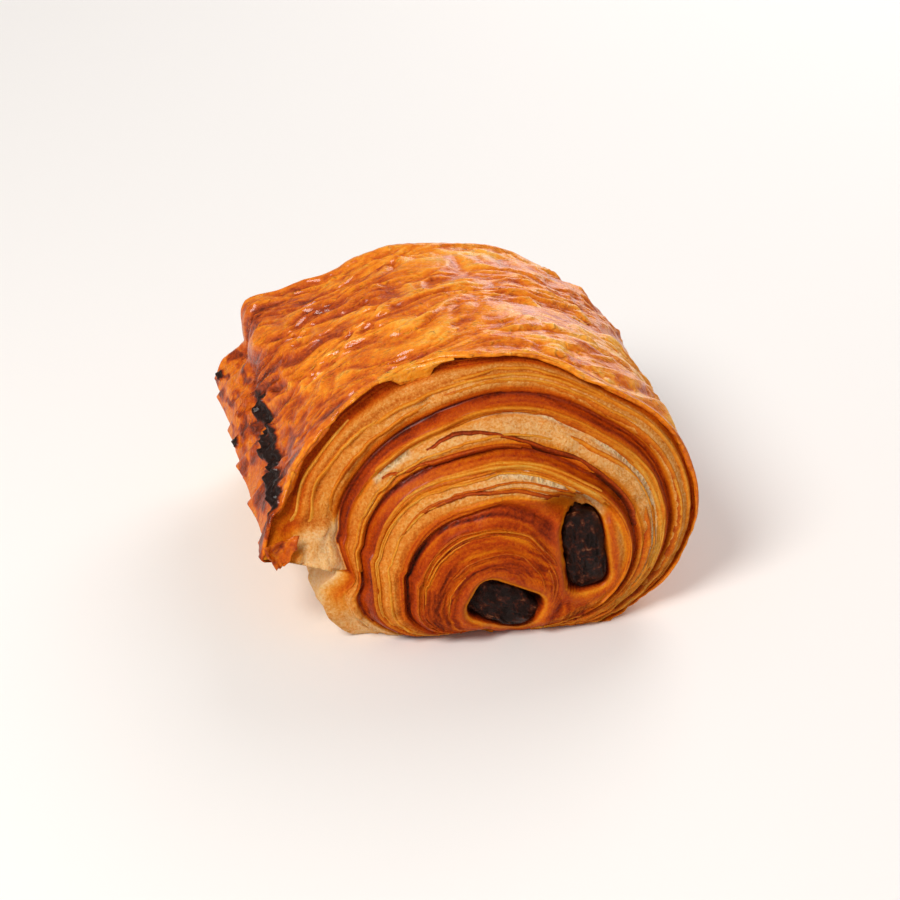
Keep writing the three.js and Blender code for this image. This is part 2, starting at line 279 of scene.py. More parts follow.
# Across a wrap: the dark skin climbs out of the crease, crisp leaves follow, then a hollow of open crumb, a
# bulge of closed crumb and a last ragged leaf. The first wrap has a gap under the glazed rim instead.
WRAP_RELIEF_AT = [0.0, 0.04, 0.12, 0.18, 0.24, 0.34, 0.42, 0.55, 0.7, 0.8, 0.86, 0.92, 1.0]
WRAP_RELIEF = [-1.35, -0.9, 0.3, 0.75, 0.5, 0.0, 0.1, 0.6, 0.5, 0.1, 0.25, -0.35, -1.35]
# Each wrap's value is darkest at the crease on either side of it: painted shade in the crease, next to the
# real dark skin.
WRAP_BAKE_AND_SHADE_AT = [0.0, 0.05, 0.14, 0.2, 0.28, 0.36, 0.5, 0.68, 0.78, 0.86, 0.93, 1.0]
WRAP_BAKE_AND_SHADE = [0.82, 0.74, 0.68, 0.56, 0.53, 0.42, 0.35, 0.37, 0.5, 0.64, 0.62, 0.82]
RIM_RELIEF_AT = [0.0, 0.14, 0.28, 0.36, 0.4, 0.44, 0.5, 0.6, 0.72, 0.84, 0.92, 1.0]
RIM_RELIEF = [-1.2, -1.15, -1.0, -0.8, -0.1, 0.3, 0.0, 0.3, 0.5, 0.1, -0.4, -1.35]
# The first wrap's values just under the glazed rim are darker: painted shade in the gap under the rim. Its
# last value is painted shade in the crease.
RIM_BAKE_AND_SHADE_AT = [0.0, 0.2, 0.32, 0.37, 0.4, 0.45, 0.49, 0.54, 0.62, 0.74, 0.84, 0.92, 1.0]
RIM_BAKE_AND_SHADE = [0.74, 0.7, 0.66, 0.58, 0.4, 0.42, 0.55, 0.47, 0.4, 0.37, 0.5, 0.62, 0.8]
# A bay in the rim, where it drew back as it baked, by turns of its middle, its half width and millimetres.
RIM_BAY = (0.168, 0.03, 2.4)
# Patches of open crumb: the strip's turns from and to, and the share across the wrap at either end.
OPEN_CRUMB = [
    (1.185, 1.3, 0.25, 0.36), (1.29, 1.45, 0.36, 0.56), (2.19, 2.36, 0.38, 0.5), (1.09, 1.14, 0.42, 0.42),
]
OPEN_HALF = 0.075
# The torn hollow that the outer stick's upper edge stands in.
HOLLOW_X = 14.0
HOLLOW_Z = 17.9
HOLLOW_WIDE = 5.6
HOLLOW_TALL = 2.5
HOLLOW_DEEP = 5.0
LINES = 12
LINE_SEED = 40


def skin_start(turns):
    at = [place for place, _ in SKIN_START]
    amount = [value for _, value in SKIN_START]
    near = [np.interp(turns + step, at, amount) for step in (-0.025, -0.01, 0.01, 0.025)]
    return sum(near) / len(near)


def layer_place(outer, v):
    """The turn of the strip that shows at a point of the face, and the share across its layers."""
    early = np.where(v < skin_start(outer), -1.0, 0.0)
    late = np.where(v > 1 + skin_start(outer + 1), 1.0, 0.0)
    own = outer + early + late
    low = skin_start(own) + own - outer
    high = 1 + skin_start(own + 1) + own - outer
    return own, np.clip((v - low) / (high - low), 0, 1)


def across_strip(own, share):
    """The other way round: the share across the wrap of a place that is given by its layer."""
    low = skin_start(own)
    return low + share * (1 + skin_start(own + 1) - low)


def leaf_lines(own, share):
    """Fine ridges and furrows of the baked leaves, which run along the strip and come and go."""
    relief = np.zeros(np.broadcast(own, share).shape)
    for k in range(LINES):
        place = 0.1 + 0.84 * (k + 0.5) / LINES
        place = place + 0.05 * grain(own * 7, k, LINE_SEED) + 0.015 * grain(own * 29, k, LINE_SEED + 1)
        width = 0.022 + 0.008 * grain(own * 14, k, LINE_SEED + 2)
        strength = np.clip(0.3 + 0.9 * grain(own * 9, k, LINE_SEED + 3), -0.6, 1)
        relief = relief + strength * bell(share - place, width)
    return relief


def open_crumb(own, share):
    shown = np.zeros(np.broadcast(own, share).shape)
    for start, end, share_start, share_end in OPEN_CRUMB:
        along = np.clip((own - start) / (end - start), 0, 1)
        window = band((0, 0.15), (0.8, 1), along)
        half = OPEN_HALF * (1 + 0.4 * grain(own * 40, 2.5, 47))
        middle = mix(share_start, share_end, along) + 0.02 * grain(own * 25, 6.5, 48)
        shown = np.maximum(shown, window * (1 - smooth(0.7, 1.1, np.abs(share - middle) / half)))
    return shown


def face_place(side, outer, v, inset):
    """A point of an end face at outer turns from the lip and share v across one wrap, without its relief."""
    turns = outer + v
    angle = LIP_ANGLE - TURN * outer
    first = outer - np.floor(outer + 1e-9)
    rim_y = side * (ROLL_LENGTH / 2 - rim_set_back(angle, side))
    shrink = 1 - WRAP_SHARE * turns
    whole = body_radius(angle, rim_y)
    edge = whole * (1 - WRAP_SHARE * first)
    squeeze = 1 - LEFT_SQUEEZE * np.maximum(0, -np.cos(angle)) * (1 - smooth(0.8, 1, shrink))
    radius = parted(whole * shrink * squeeze, turns, angle, edge)
    free = np.clip(1 - v, 0, 1) ** 1.5
    radius = radius + (flare(outer, rim_y) + swell_below(outer, rim_y)) * free + swell_within(outer, turns)
    radius = radius - inset(outer) * (1 - smooth(0.0, 0.35, v))
    dome = dome_back(angle, side, shrink)
    x = radius * np.cos(angle)
    z = radius * np.sin(angle) + curl(outer, rim_y) * free
    return x, side * (ROLL_LENGTH / 2 - dome), z, angle


DOUGH_COLUMNS = 360
FRONT_ROWS = 36
BACK_ROWS = 12
DOUGH_WALL_ROWS = 42
WALL_ROWS_CROWD = 1.4
WALL_SINK = 1.1
CORE_INSET = 5.0
# The depth of wrap that the relief is listed for, and heights in millimetres of what is laid on top of it.
LISTED_WRAP = 6.5
LINES_HIGH = 0.34
PORES_HIGH = 0.16
LUMPS_HIGH = 0.3
OPEN_DEEP = 0.35
SOCKET_DEEP = 4.0
# How far single places are baked, from 0 for raw to 1 for burnt; the socket's value is painted shadow round
# the sticks.
UNDER_LIP_BAKE = 0.26
LIP_CORNER_BAKE = 0.55
CORE_RING_BAKE = 0.74
STICK_SKIN_BAKE = 0.66
STICK_EDGE_BAKE = 0.4
SOCKET_SHADE = 0.92
HOLLOW_BAKE = 0.5
SHEET_INSET = 1.0
LIP_INSET = 0.55


def sheet_inset(turns):
    """How far the dough lies under the sheet, which ends below the roll: beyond it the dough is bare."""
    return mix(LIP_INSET, SHEET_INSET, smooth(0.01, 0.1, turns)) * (1 - smooth(0.66, 0.74, turns))


def on_floor(x, y, z, side):
    """What would sink below the floor lies on it instead, and tucks in under the roll."""
    sunk = np.maximum(0, -CORE_HEIGHT - z)
    return x, y - side * TUCK_UNDER * sunk, np.maximum(z, -CORE_HEIGHT) - 0.004 * np.minimum(sunk, 4)


def rim_gap(outer):
    """How open the gap under the glazed rim is: wide over the top, and closed where the roll rests."""
    return (1 - smooth(0.46, 0.6, outer)) * smooth(0.0, 0.05, outer)


def rim_bay(side, outer):
    middle, half, back = RIM_BAY
    return back * bell(outer - middle, half) * (side < 0)


def dough_face(side, outer, v):
    """The surface of an end face: its points, and the bake, crumb, glaze and openness of each; the bake also
    carries painted shade and light.
    """
    turns = outer + v
    x, y, z, angle = face_place(side, outer, v, sheet_inset)
    own, share = layer_place(outer, v)
    ends_differ = side * 50
    wander = 0.05 * grain(own * 5 + ends_differ, 3.5, 5)
    wander = wander + 0.025 * grain(own * 19 + ends_differ, share * 4 + 7.5, 6)
    share = np.clip(share + wander * np.sin(math.pi * share), 0, 1)
    in_first = 1 - smooth(0.94, 1.0, own)
    gap = rim_gap(own)
    below = smooth(0.78, 0.88, own) * in_first * (1 - smooth(0.9, 1.0, share))
    wrap = np.interp(share, WRAP_RELIEF_AT, WRAP_RELIEF)
    rim = np.interp(share, RIM_RELIEF_AT, RIM_RELIEF)
    rim = np.where(share < 0.4, mix(0.2 - 0.6 * share, rim, gap), rim)
    relief = mix(mix(wrap, rim, in_first), 0.3 - 0.9 * share, below)
    lines = leaf_lines(own + side * 7, share)
    size = by_direction(REACH, angle) * WRAP_SHARE / LISTED_WRAP
    thickness = np.minimum(1, size) * mix(1, 0.6, smooth(2.6, 4.2, turns))
    uneven = 1 + 0.25 * np.sin(3 * angle + 2.2 * own) + 0.15 * np.sin(7 * angle + turns)
    pores = 0.5 * grain(x / 0.9, z / 0.9, 11 + side) + 0.5 * grain(x / 0.45, z / 0.45, 12 + side)
    lumps = grain(x / 2.6, z / 1.7, 14 + side)
    in_leaves = band((0.12, 0.2), (0.92, 0.98), share)
    in_leaves = in_leaves * (1 - in_first * (1 - 0.5 * smooth(0.38, 0.46, share)))
    wrap_crumb = band((0.32, 0.42), (0.74, 0.82), share)
    rim_crumb = band((0.34, 0.4), (0.82, 0.9), share)
    in_crumb = mix(wrap_crumb, rim_crumb, in_first)
    open_here = open_crumb(own, share) if side < 0 else np.zeros(x.shape)
    pale = 0.3 + 0.7 * np.exp(-((np.cos(angle - math.radians(72)) - 1) / 0.55) ** 2)
    inner = smooth(2.5, 3.2, own)
    height = relief * thickness * uneven + lines * LINES_HIGH * thickness * in_leaves
    height = height + (PORES_HIGH * pores + LUMPS_HIGH * lumps) * in_crumb + 0.16 * lumps * in_leaves
    height = height - OPEN_DEEP * open_here - rim_bay(side, own) * in_first * (1 - smooth(0.34, 0.5, share))

    # How far each layer is baked, from pale crumb through golden leaves to the dark skin, with painted shade
    # at the creases and under the rim, and painted light on the first wrap's right.
    left = np.maximum(0, -np.cos(angle))
    skin_end = (0.13 + 0.07 * left) * mix(1, 0.7, inner) + 0.03 * grain(own * 6 + ends_differ, 1.5, 21)
    starting = (own > 0.9) * (1 - smooth(1.0, 1.05, own))
    skin = (1 - smooth(skin_end - 0.03, skin_end + 0.05, share)) * (1 - starting)
    patch = grain(own * 5 + ends_differ, share * 2 + 3, 22)
    streak = grain(own * 9 + ends_differ, share * 34, 23) + 0.6 * grain(own * 17, share * 60, 24)
    height = height + (0.16 * skin + 0.1 * inner) * streak * (1 - in_crumb)
    bake = np.interp(share, WRAP_BAKE_AND_SHADE_AT, WRAP_BAKE_AND_SHADE) + 0.16 * (1 - pale) * wrap_crumb
    bake = mix(bake, np.maximum(bake, 0.68 + 0.05 * left), skin)
    # Where the gap under the rim is open, its darker values stay: painted shade under the rim.
    rim_bake_and_shade = np.interp(share, RIM_BAKE_AND_SHADE_AT, RIM_BAKE_AND_SHADE)
    bake = mix(bake, mix(np.clip(rim_bake_and_shade, 0.42, 0.56), rim_bake_and_shade, gap) + 0.03 * (1 - pale), in_first)
    bake = mix(bake, np.clip(bake, 0.58 + 0.09 * streak, 0.7 + 0.07 * streak), inner)
    bake = bake + 0.07 * patch + (0.06 + 0.07 * skin + 0.04 * inner) * streak * (1 - 0.6 * in_crumb)
    # The second term paints the first wrap paler from its right side round to the bottom: painted light.
    bake = bake + 0.05 * left * smooth(1.6, 2.4, own) - 0.05 * smooth(0.28, 0.36, own) * in_first
    bake = bake - 0.11 * (lines - 0.3) * in_leaves * (1 - 0.6 * in_crumb)

    # The front corner of the lip is browned, and below it the pale dough shows behind a crack.
    crack_at = 0.012 + 0.032 * share + 0.004 * grain(share * 9, 3.5, 26)
    inner_half = smooth(0.36, 0.56, share + 0.1 * grain(own * 120, share * 4, 33))
    under_lip = np.where(own < 0.5, inner_half * (1 - smooth(-0.008, 0.006, own - crack_at)), 0)
    browned = np.where(own < 0.5, (1 - smooth(0.02, 0.045, own)) * (1 - inner_half), 0)
    bake = mix(bake, LIP_CORNER_BAKE + 0.12 * grain(own * 150, share * 6, 34), browned)
    in_crumb = in_crumb * (1 - browned)
    crack = bell(own - crack_at, 0.0035) * band((0.15, 0.3), (0.75, 0.95), share)
    below = np.maximum(below, under_lip)
    fibres = grain(own * 60, share * 12, 27) + 0.6 * grain(own * 130, share * 30, 28)
    bake = mix(bake, UNDER_LIP_BAKE + 0.08 * pores + 0.07 * fibres + 0.06 * lumps, below)
    # The crack is painted darker along its line: painted shade in the crack.
    bake = bake + 0.16 * crack
    height = height + below * (0.22 * fibres + 0.25 * lumps) - 0.4 * crack + 0.2 * under_lip
    crumb = np.clip(in_crumb * (1 - inner) * (0.55 + 0.45 * pale) + below, 0, 1)
    glaze = np.clip(skin * (1 - in_first) + 0.2 * in_leaves * (1 - in_crumb), 0, 1) * (1 - 0.7 * inner)

    # Fine rings of dough lie round the core, and each stick sits in a smooth skin with a thin pale edge.
    core_gap = stick_distance(x, z, "chocolate_stick_core")
    ringed = band((0.8, 2.5), (7.5, 11), core_gap)
    bent_gap = core_gap + 0.45 * grain(angle * 3, 4.5, 31) + 0.2 * grain(angle * 9, core_gap, 35)
    rings = grain(bent_gap / 0.6, angle * 1.6, 32)
    broken_up = smooth(-0.5, 0.3, grain(bent_gap / 1.6, angle * 4, 37))
    fine_rings = grain(bent_gap / 0.26, angle * 3.1, 36) * broken_up
    bake = mix(bake, CORE_RING_BAKE + 0.13 * rings - 0.12 * fine_rings + 0.05 * streak, ringed * 0.85)
    height = mix(height, 0.28 * rings + 0.24 * fine_rings + 0.1 * lumps, ringed * 0.7)
    hollow = ((x - HOLLOW_X) / HOLLOW_WIDE) ** 2 + ((z - HOLLOW_Z + 0.3 * (x - HOLLOW_X)) / HOLLOW_TALL) ** 2
    hollow = np.exp(-(hollow ** 1.5))
    for name in STICK_PLACES:
        gap_to_stick = stick_distance(x, z, name)
        near = (1 - smooth(1.2, 3.2, gap_to_stick)) * (1 - smooth(0.2, 0.6, hollow))
        ring = bell(gap_to_stick - 0.55, 0.35)
        height = mix(height, 0.35 - 0.9 * (1 - smooth(0.2, 1.6, gap_to_stick)), near)
        height = height - SOCKET_DEEP * smooth(0.3, -0.5, gap_to_stick)
        bake = mix(bake, STICK_SKIN_BAKE + 0.04 * streak, near)
        bake = mix(bake, STICK_EDGE_BAKE, 0.75 * ring)
        # The dough right against each stick is painted near-black: painted shadow round the stick.
        bake = mix(bake, SOCKET_SHADE, 1 - smooth(-0.1, 0.3, gap_to_stick))
        crumb = crumb * (1 - near)
        open_here = open_here * (1 - near)
        glaze = mix(glaze, 0.6, near)
    if side < 0:
        height = height - HOLLOW_DEEP * hollow
        bake = mix(bake, HOLLOW_BAKE, 0.7 * smooth(0.3, 0.8, hollow))
    x, y, z = on_floor(x, y + side * height, z, side)
    return np.stack([x, y, z], -1), np.stack([bake, crumb, glaze, open_here], -1)


def quads_between(index, turned=False):
    """The quads between neighbouring points of a grid of point numbers."""
    corners = [index[:-1, :-1], index[:-1, 1:], index[1:, 1:], index[1:, :-1]]
    return np.stack(corners[::-1] if turned else corners, -1).reshape(-1, 4).tolist()


def dough_mesh():
    last = round(WRAPS * DOUGH_COLUMNS)
    points = []
    values = []
    faces = []
    total = 0
    ends = {}
    for side, rows in ((-1, FRONT_ROWS), (1, BACK_ROWS)):
        outer = (np.arange(last + 1) / DOUGH_COLUMNS)[:, None] * np.ones((1, rows + 1))
        v = (np.arange(rows + 1) / rows)[None, :] * np.ones((last + 1, 1))
        spot, value = dough_face(side, outer, v)
        index = np.zeros((last + 1, rows + 1), int)
        index[:, :rows] = total + np.arange((last + 1) * rows).reshape(last + 1, rows)
        total += (last + 1) * rows
        tail = last + 1 - DOUGH_COLUMNS
        index[:tail, rows] = index[DOUGH_COLUMNS:, 0]
        index[tail:, rows] = total + np.arange(last + 1 - tail)
        total += last + 1 - tail
        points += [spot[:, :rows].reshape(-1, 3), spot[tail:, rows]]
        values += [value[:, :rows].reshape(-1, 4), value[tail:, rows]]
        faces += quads_between(index, side > 0)
        loop = index[tail:, rows].tolist() + index[last, :rows][::-1].tolist()
        middle = total
        points.append(np.array([[0.0, side * (ROLL_LENGTH / 2 - CORE_INSET), 0.0]]))
        values.append(np.array([[0.8, 0.0, 0.0, 0.0]]))
        total += 1
        for a, b in zip(loop, loop[1:] + loop[:1]):
            faces.append([a, middle, b] if side < 0 else [b, middle, a])
        ends[side] = (index, spot)

    # The outside lies just under the glazed sheet, and is bare, pale and fibrous below the lip.
    turns = np.arange(DOUGH_COLUMNS + 1) / DOUGH_COLUMNS
    front_index, front_spot = ends[-1]
    back_index, back_spot = ends[1]
    share = (np.arange(1, DOUGH_WALL_ROWS) / DOUGH_WALL_ROWS) ** WALL_ROWS_CROWD
    front_y, back_y = (spot[:DOUGH_COLUMNS + 1, 0, 1][:, None] for spot in (front_spot, back_spot))
    y = mix(front_y, back_y, share)
    across = turns[:, None] * np.ones_like(y)
    angle = LIP_ANGLE - TURN * across
    strands = grain(across * 46 + 0.6 * grain(y / 5, across * 30, 91), y / 1.1, 92)
    strands = strands + 0.6 * grain(across * 90, y / 0.6, 93)
    lumps = grain(across * 60, y / 4.5, 94)
    bare = smooth(0.74, 0.8, across)
    to_end = np.minimum(y - y[:, :1], y[:, -1:] - y)
    inside = smooth(0, 2.5, to_end) * (1 - smooth(0.985, 0.999, across))
    sunk = WALL_SINK * (1 - bare) * smooth(0.3, 3.0, to_end) * smooth(0.0, 0.03, across)
    radius = outside_radius(across, y) - sheet_inset(across) - sunk
    radius = radius + bare * inside * (0.22 * strands + 0.5 * lumps)
    lift = curl(across, y)
    wall = np.stack([radius * np.cos(angle), y, np.maximum(radius * np.sin(angle) + lift, -CORE_HEIGHT)], -1)
    index = np.zeros((DOUGH_COLUMNS + 1, DOUGH_WALL_ROWS + 1), int)
    index[:, 0] = front_index[:DOUGH_COLUMNS + 1, 0]
    index[:, -1] = back_index[:DOUGH_COLUMNS + 1, 0]
    index[:, 1:-1] = total + np.arange(wall.shape[0] * wall.shape[1]).reshape(wall.shape[:2])
    total += wall.shape[0] * wall.shape[1]
    points.append(wall.reshape(-1, 3))
    wall_bake = mix(0.6, 0.25 + 0.07 * strands + 0.08 * lumps + 0.1 * grain(across * 14, y / 9, 95), bare)
    values.append(np.stack([wall_bake, bare, 0.5 * (1 - bare), 0 * bare], -1).reshape(-1, 4))
    faces += quads_between(index.T)

    # The underside of the lip closes the body. The back end has a third of the front's rows.
    rows = FRONT_ROWS
    share = (np.arange(1, rows) / rows)[:, None, None]
    under_points = mix(wall[0][None], wall[-1][None], share)
    under = np.zeros((rows + 1, DOUGH_WALL_ROWS), int)
    under[:, 0] = front_index[0, :]
    under[0, :] = index[0, :-1]
    under[-1, :] = index[-1, :-1]
    count = (rows - 1) * (DOUGH_WALL_ROWS - 1)
    under[1:-1, 1:] = total + np.arange(count).reshape(rows - 1, DOUGH_WALL_ROWS - 1)
    points.append(under_points.reshape(-1, 3))
    values.append(np.tile([[0.2, 1.0, 0.0, 0.0]], (count, 1)))
    faces += quads_between(under)
    for k in range(BACK_ROWS):
        fine = [int(n) for n in under[3 * k:3 * k + 4, -1]]
        faces.append([fine[0], int(back_index[0, k]), fine[1]])
        faces.append([fine[1], int(back_index[0, k]), int(back_index[0, k + 1]), fine[2]])
        faces.append([fine[2], int(back_index[0, k + 1]), fine[3]])
    return np.concatenate(points), faces, np.concatenate(values)


def baked_object(name, points, faces, values, labels, finish):
    """A smooth mesh in metres in the shared frame, with its material and a named value for each point."""
    mesh = bpy.data.meshes.new(name)
    placed = points * MM + np.array([CORE_X, CORE_Y, CORE_HEIGHT * MM])
    mesh.from_pydata(placed.tolist(), [], faces)
    for k, label in enumerate(labels):
        attribute = mesh.attributes.new(label, "FLOAT", "POINT")
        attribute.data.foreach_set("value", np.ascontiguousarray(values[:, k], dtype=np.float32))
    mesh.polygons.foreach_set("use_smooth", [True] * len(mesh.polygons))
    mesh.update()
    mesh.materials.append(finish)
    made = bpy.data.objects.new(name, mesh)
    bpy.context.scene.collection.objects.link(made)
    return made


def new_material(name):
    material = bpy.data.materials.new(name)
    material.use_nodes = True
    nodes = material.node_tree.nodes
    links = material.node_tree.links
    return material, nodes, links, nodes["Principled BSDF"]


def linear(colour):
    """A colour read off as 0 to 255, as the shader wants it."""
    shares = [c / 255 for c in colour]
    return tuple(((c + 0.055) / 1.055) ** 2.4 if c > 0.04 else c / 12.92 for c in shares) + (1,)


def attribute_node(nodes, label):
    node = nodes.new("ShaderNodeAttribute")
    node.attribute_name = label
    return node.outputs["Fac"]


def noise_node(nodes, links, vector, scale, detail, roughness=0.6):
    node = nodes.new("ShaderNodeTexNoise")
    node.inputs["Scale"].default_value = scale
    node.inputs["Detail"].default_value = detail
    node.inputs["Roughness"].default_value = roughness
    links.new(vector, node.inputs["Vector"])
    return node.outputs["Fac"]


def math_node(nodes, links, operation, a, b, clamp=False):
    node = nodes.new("ShaderNodeMath")
    node.operation = operation
    node.use_clamp = clamp
    for socket, value in zip(node.inputs, (a, b)):
        if isinstance(value, (int, float)):
            socket.default_value = value
        else:
            links.new(value, socket)
    return node.outputs[0]


def ramp_node(nodes, links, factor, stops):
    node = nodes.new("ShaderNodeValToRGB")
    elements = node.color_ramp.elements
    for _ in range(len(stops) - 2):
        elements.new(0.5)
    for element, (place, colour) in zip(elements, stops):
        element.position = place
        element.color = linear(colour)
    links.new(factor, node.inputs["Fac"])
    return node.outputs["Color"]


def nudged(nodes, links, value, noise, amount):
    """A value moved up and down by a noise around its middle."""
    centred = math_node(nodes, links, "SUBTRACT", noise, 0.5)
    scaled = math_node(nodes, links, "MULTIPLY", centred, amount)
    return math_node(nodes, links, "ADD", value, scaled)


def colour_mix(nodes, links, share, first, second):
    node = nodes.new("ShaderNodeMix")
    node.data_type = "RGBA"
    for socket, value in ((node.inputs["Factor"], share), (node.inputs[6], first), (node.inputs[7], second)):
        if isinstance(value, tuple):
            socket.default_value = value
        else:
            links.new(value, socket)
    return node.outputs[2]


def bumps(nodes, links, shader, layers):
    """Stacks bump layers, each a height, a depth in metres and a strength, on the shader's normal."""
    normal = None
    for height, depth, strength in layers:
        bump = nodes.new("ShaderNodeBump")
        bump.inputs["Strength"].default_value = strength
        bump.inputs["Distance"].default_value = depth
        links.new(height, bump.inputs["Height"])
        if normal is not None:
            links.new(normal, bump.inputs["Normal"])
        normal = bump.outputs["Normal"]
    links.new(normal, shader.inputs["Normal"])


def glazed_roughness(nodes, links):
    """Bare dough is matt, and glazed dough much smoother."""
    rough = math_node(nodes, links, "MULTIPLY", attribute_node(nodes, "glaze"), -0.3)
    return math_node(nodes, links, "ADD", rough, 0.64)


def baked_gloss(nodes, links, shader, coat_weight, coat_roughness, specular, translucent):
    """A coat that follows the glaze, and the little light that passes through thin dough."""
    weight = math_node(nodes, links, "MULTIPLY", attribute_node(nodes, "glaze"), coat_weight)
    links.new(weight, shader.inputs["Coat Weight"])
    shader.inputs["Coat Roughness"].default_value = coat_roughness
    shader.inputs["Specular IOR Level"].default_value = specular
    shader.inputs["Subsurface Weight"].default_value = translucent
    shader.inputs["Subsurface Radius"].default_value = (0.002, 0.0007, 0.0002)
    shader.inputs["Subsurface Scale"].default_value = 1.0


# Colours by how far a place is baked, for skin and leaves and for closed crumb, and for the cells of open
# crumb by the distance from their walls, darker towards the middle of each pit: painted shade.
BAKED_STOPS = [
    (0.0, (243, 208, 146)), (0.18, (240, 186, 96)), (0.34, (238, 160, 44)), (0.48, (228, 128, 12)),
    (0.6, (208, 96, 4)), (0.72, (178, 62, 3)), (0.84, (122, 34, 3)), (0.94, (50, 18, 7)), (1.0, (18, 12, 10)),
]
CRUMB_STOPS = [
    (0.0, (243, 208, 160)), (0.25, (236, 182, 116)), (0.42, (222, 144, 62)), (0.6, (196, 102, 26)),
    (0.85, (120, 50, 12)),
]
CELL_STOPS = [(0.0, (242, 212, 168)), (0.1, (230, 192, 138)), (0.45, (204, 150, 90))]

dough_finish, nodes, links, shader = new_material("baked_dough")
place = nodes.new("ShaderNodeTexCoord").outputs["Object"]
fine = noise_node(nodes, links, place, 1900, 4, 0.7)
broad = noise_node(nodes, links, place, 260, 4)
bake_value = nudged(nodes, links, attribute_node(nodes, "bake"), fine, 0.3)
bake_value = nudged(nodes, links, bake_value, broad, 0.16)
baked = ramp_node(nodes, links, bake_value, BAKED_STOPS)
crumb_colour = ramp_node(nodes, links, nudged(nodes, links, bake_value, fine, 0.5), CRUMB_STOPS)
surface = colour_mix(nodes, links, attribute_node(nodes, "crumb"), baked, crumb_colour)
cells = nodes.new("ShaderNodeTexVoronoi")
cells.feature = "DISTANCE_TO_EDGE"
cells.inputs["Scale"].default_value = 900
links.new(place, cells.inputs["Vector"])
cell_colour = ramp_node(nodes, links, cells.outputs["Distance"], CELL_STOPS)
surface = colour_mix(nodes, links, attribute_node(nodes, "open"), surface, cell_colour)
links.new(surface, shader.inputs["Base Color"])
links.new(glazed_roughness(nodes, links), shader.inputs["Roughness"])
baked_gloss(nodes, links, shader, coat_weight=0.26, coat_roughness=0.26, specular=0.08, translucent=0.1)
pits = math_node(nodes, links, "MULTIPLY", cells.outputs["Distance"], attribute_node(nodes, "open"))
pits = math_node(nodes, links, "MULTIPLY", pits, -1.0)
bumps(nodes, links, shader, [(fine, 0.0005, 0.8), (pits, 0.001, 0.8)])

points, faces, values = dough_mesh()
DOUGH_LABELS = ("bake", "crumb", "glaze", "open")
dough = baked_object("rolled_dough", points, faces, values, DOUGH_LABELS, dough_finish)
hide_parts("pastry")
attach(dough, "root")


# The baked leaves: butter keeps the thin layers of dough apart, and their crisp edges stand a little proud of
# each end face. Each is a wavy ribbon that follows the wrap, leans outwards and breaks off after a while.
LEAF_STEP = 1 / 330
LEAF_CLEARANCE = 2.2
LEAF_LEAST_POINTS = 12
LEAF_CRUMB = 0.15
LEAF_GLAZE = 0.4
LEAF_SECTION = [(-0.45, -0.12), (0.5, -0.1), (1.0, -0.02), (0.8, 0.08), (0.25, 0.26), (-0.4, 0.5)]
# The leaves that show from a step away: turns and share at each point, height in millimetres and bake.
SHOWN_LEAVES = [
    ([(1.15, 0.56), (1.165, 0.48), (1.178, 0.45), (1.2, 0.55), (1.225, 0.74), (1.26, 0.86), (1.3, 0.82),
      (1.34, 0.88), (1.39, 0.9)], 0.8, 0.78),
    ([(1.1, 0.52), (1.125, 0.72), (1.15, 0.84), (1.19, 0.86), (1.24, 0.93)], 0.7, 0.7),
    ([(2.1, 0.56), (2.17, 0.57), (2.2, 0.63), (2.25, 0.68), (2.3, 0.72)], 0.6, 0.72),
    ([(0.19, 0.5), (0.215, 0.46), (0.235, 0.43), (0.26, 0.47), (0.3, 0.42)], 0.9, 0.5),
    ([(0.12, 0.56), (0.17, 0.55), (0.22, 0.58), (0.27, 0.55), (0.31, 0.5)], 0.7, 0.46),
    ([(0.03, 0.5), (0.06, 0.45), (0.09, 0.5), (0.13, 0.53)], 0.9, 0.42),
    ([(0.045, 0.76), (0.08, 0.7), (0.12, 0.74), (0.17, 0.7)], 0.7, 0.52),
    ([(0.025, 0.3), (0.05, 0.27), (0.09, 0.31), (0.11, 0.3)], 0.8, 0.4),
    ([(1.1, 0.22), (1.2, 0.2), (1.3, 0.22), (1.42, 0.24)], 0.7, 0.5),
    ([(2.1, 0.2), (2.22, 0.22), (2.34, 0.24)], 0.6, 0.42),
]


def leaf_ribbon(side, own, share, tall, lean, broad, bake, seed):
    """One ribbon that stands on the face along the given places."""
    v = across_strip(own, share)
    spot, _ = dough_face(side, own, v)
    further, _ = dough_face(side, own, v + 0.02)
    inwards = further - spot
    inwards[:, 1] = 0
    inwards = inwards / np.maximum(np.linalg.norm(inwards, axis=1), 1e-6)[:, None]
    rows = []
    shades = []
    rest = np.broadcast_to((LEAF_CRUMB, LEAF_GLAZE, 0.0), (len(own), 3))
    for reach, half in LEAF_SECTION:
        out = reach * np.where(reach > 0, tall, 1.0)
        across = half * broad - lean * np.maximum(out, 0)
        spot_now = spot + inwards * np.asarray(across)[:, None]
        spot_now[:, 1] += side * out
        rows.append(spot_now)
        shade = bake + 0.1 * (0.5 - reach) + 0.06 * grain(own * 60, reach, seed + 4) + 0.06 * (half > 0.2)
        shades.append(np.concatenate([shade[:, None], rest], 1))
    return np.stack(rows, 1), np.stack(shades, 1)


def clear_of_sticks(side, own, share):
    """How many points of a ribbon come before the first one that is near a stick."""
    x, _, z, _ = face_place(side, own, across_strip(own, share), sheet_inset)
    near = np.zeros(len(own), bool)
    for name in STICK_PLACES:
        near = near | (stick_distance(x, z, name) < LEAF_CLEARANCE)
    return int(np.argmax(near)) if near.any() else len(own)


def joined(pieces):
    """One mesh of several, each given by its points, faces and values."""
    spots, quads, shades = zip(*pieces)
    starts = np.cumsum([0] + [len(group) for group in spots])
    faces = [[k + int(start) for k in quad] for start, group in zip(starts, quads) for quad in group]
    return np.concatenate(spots), faces, np.concatenate(shades)


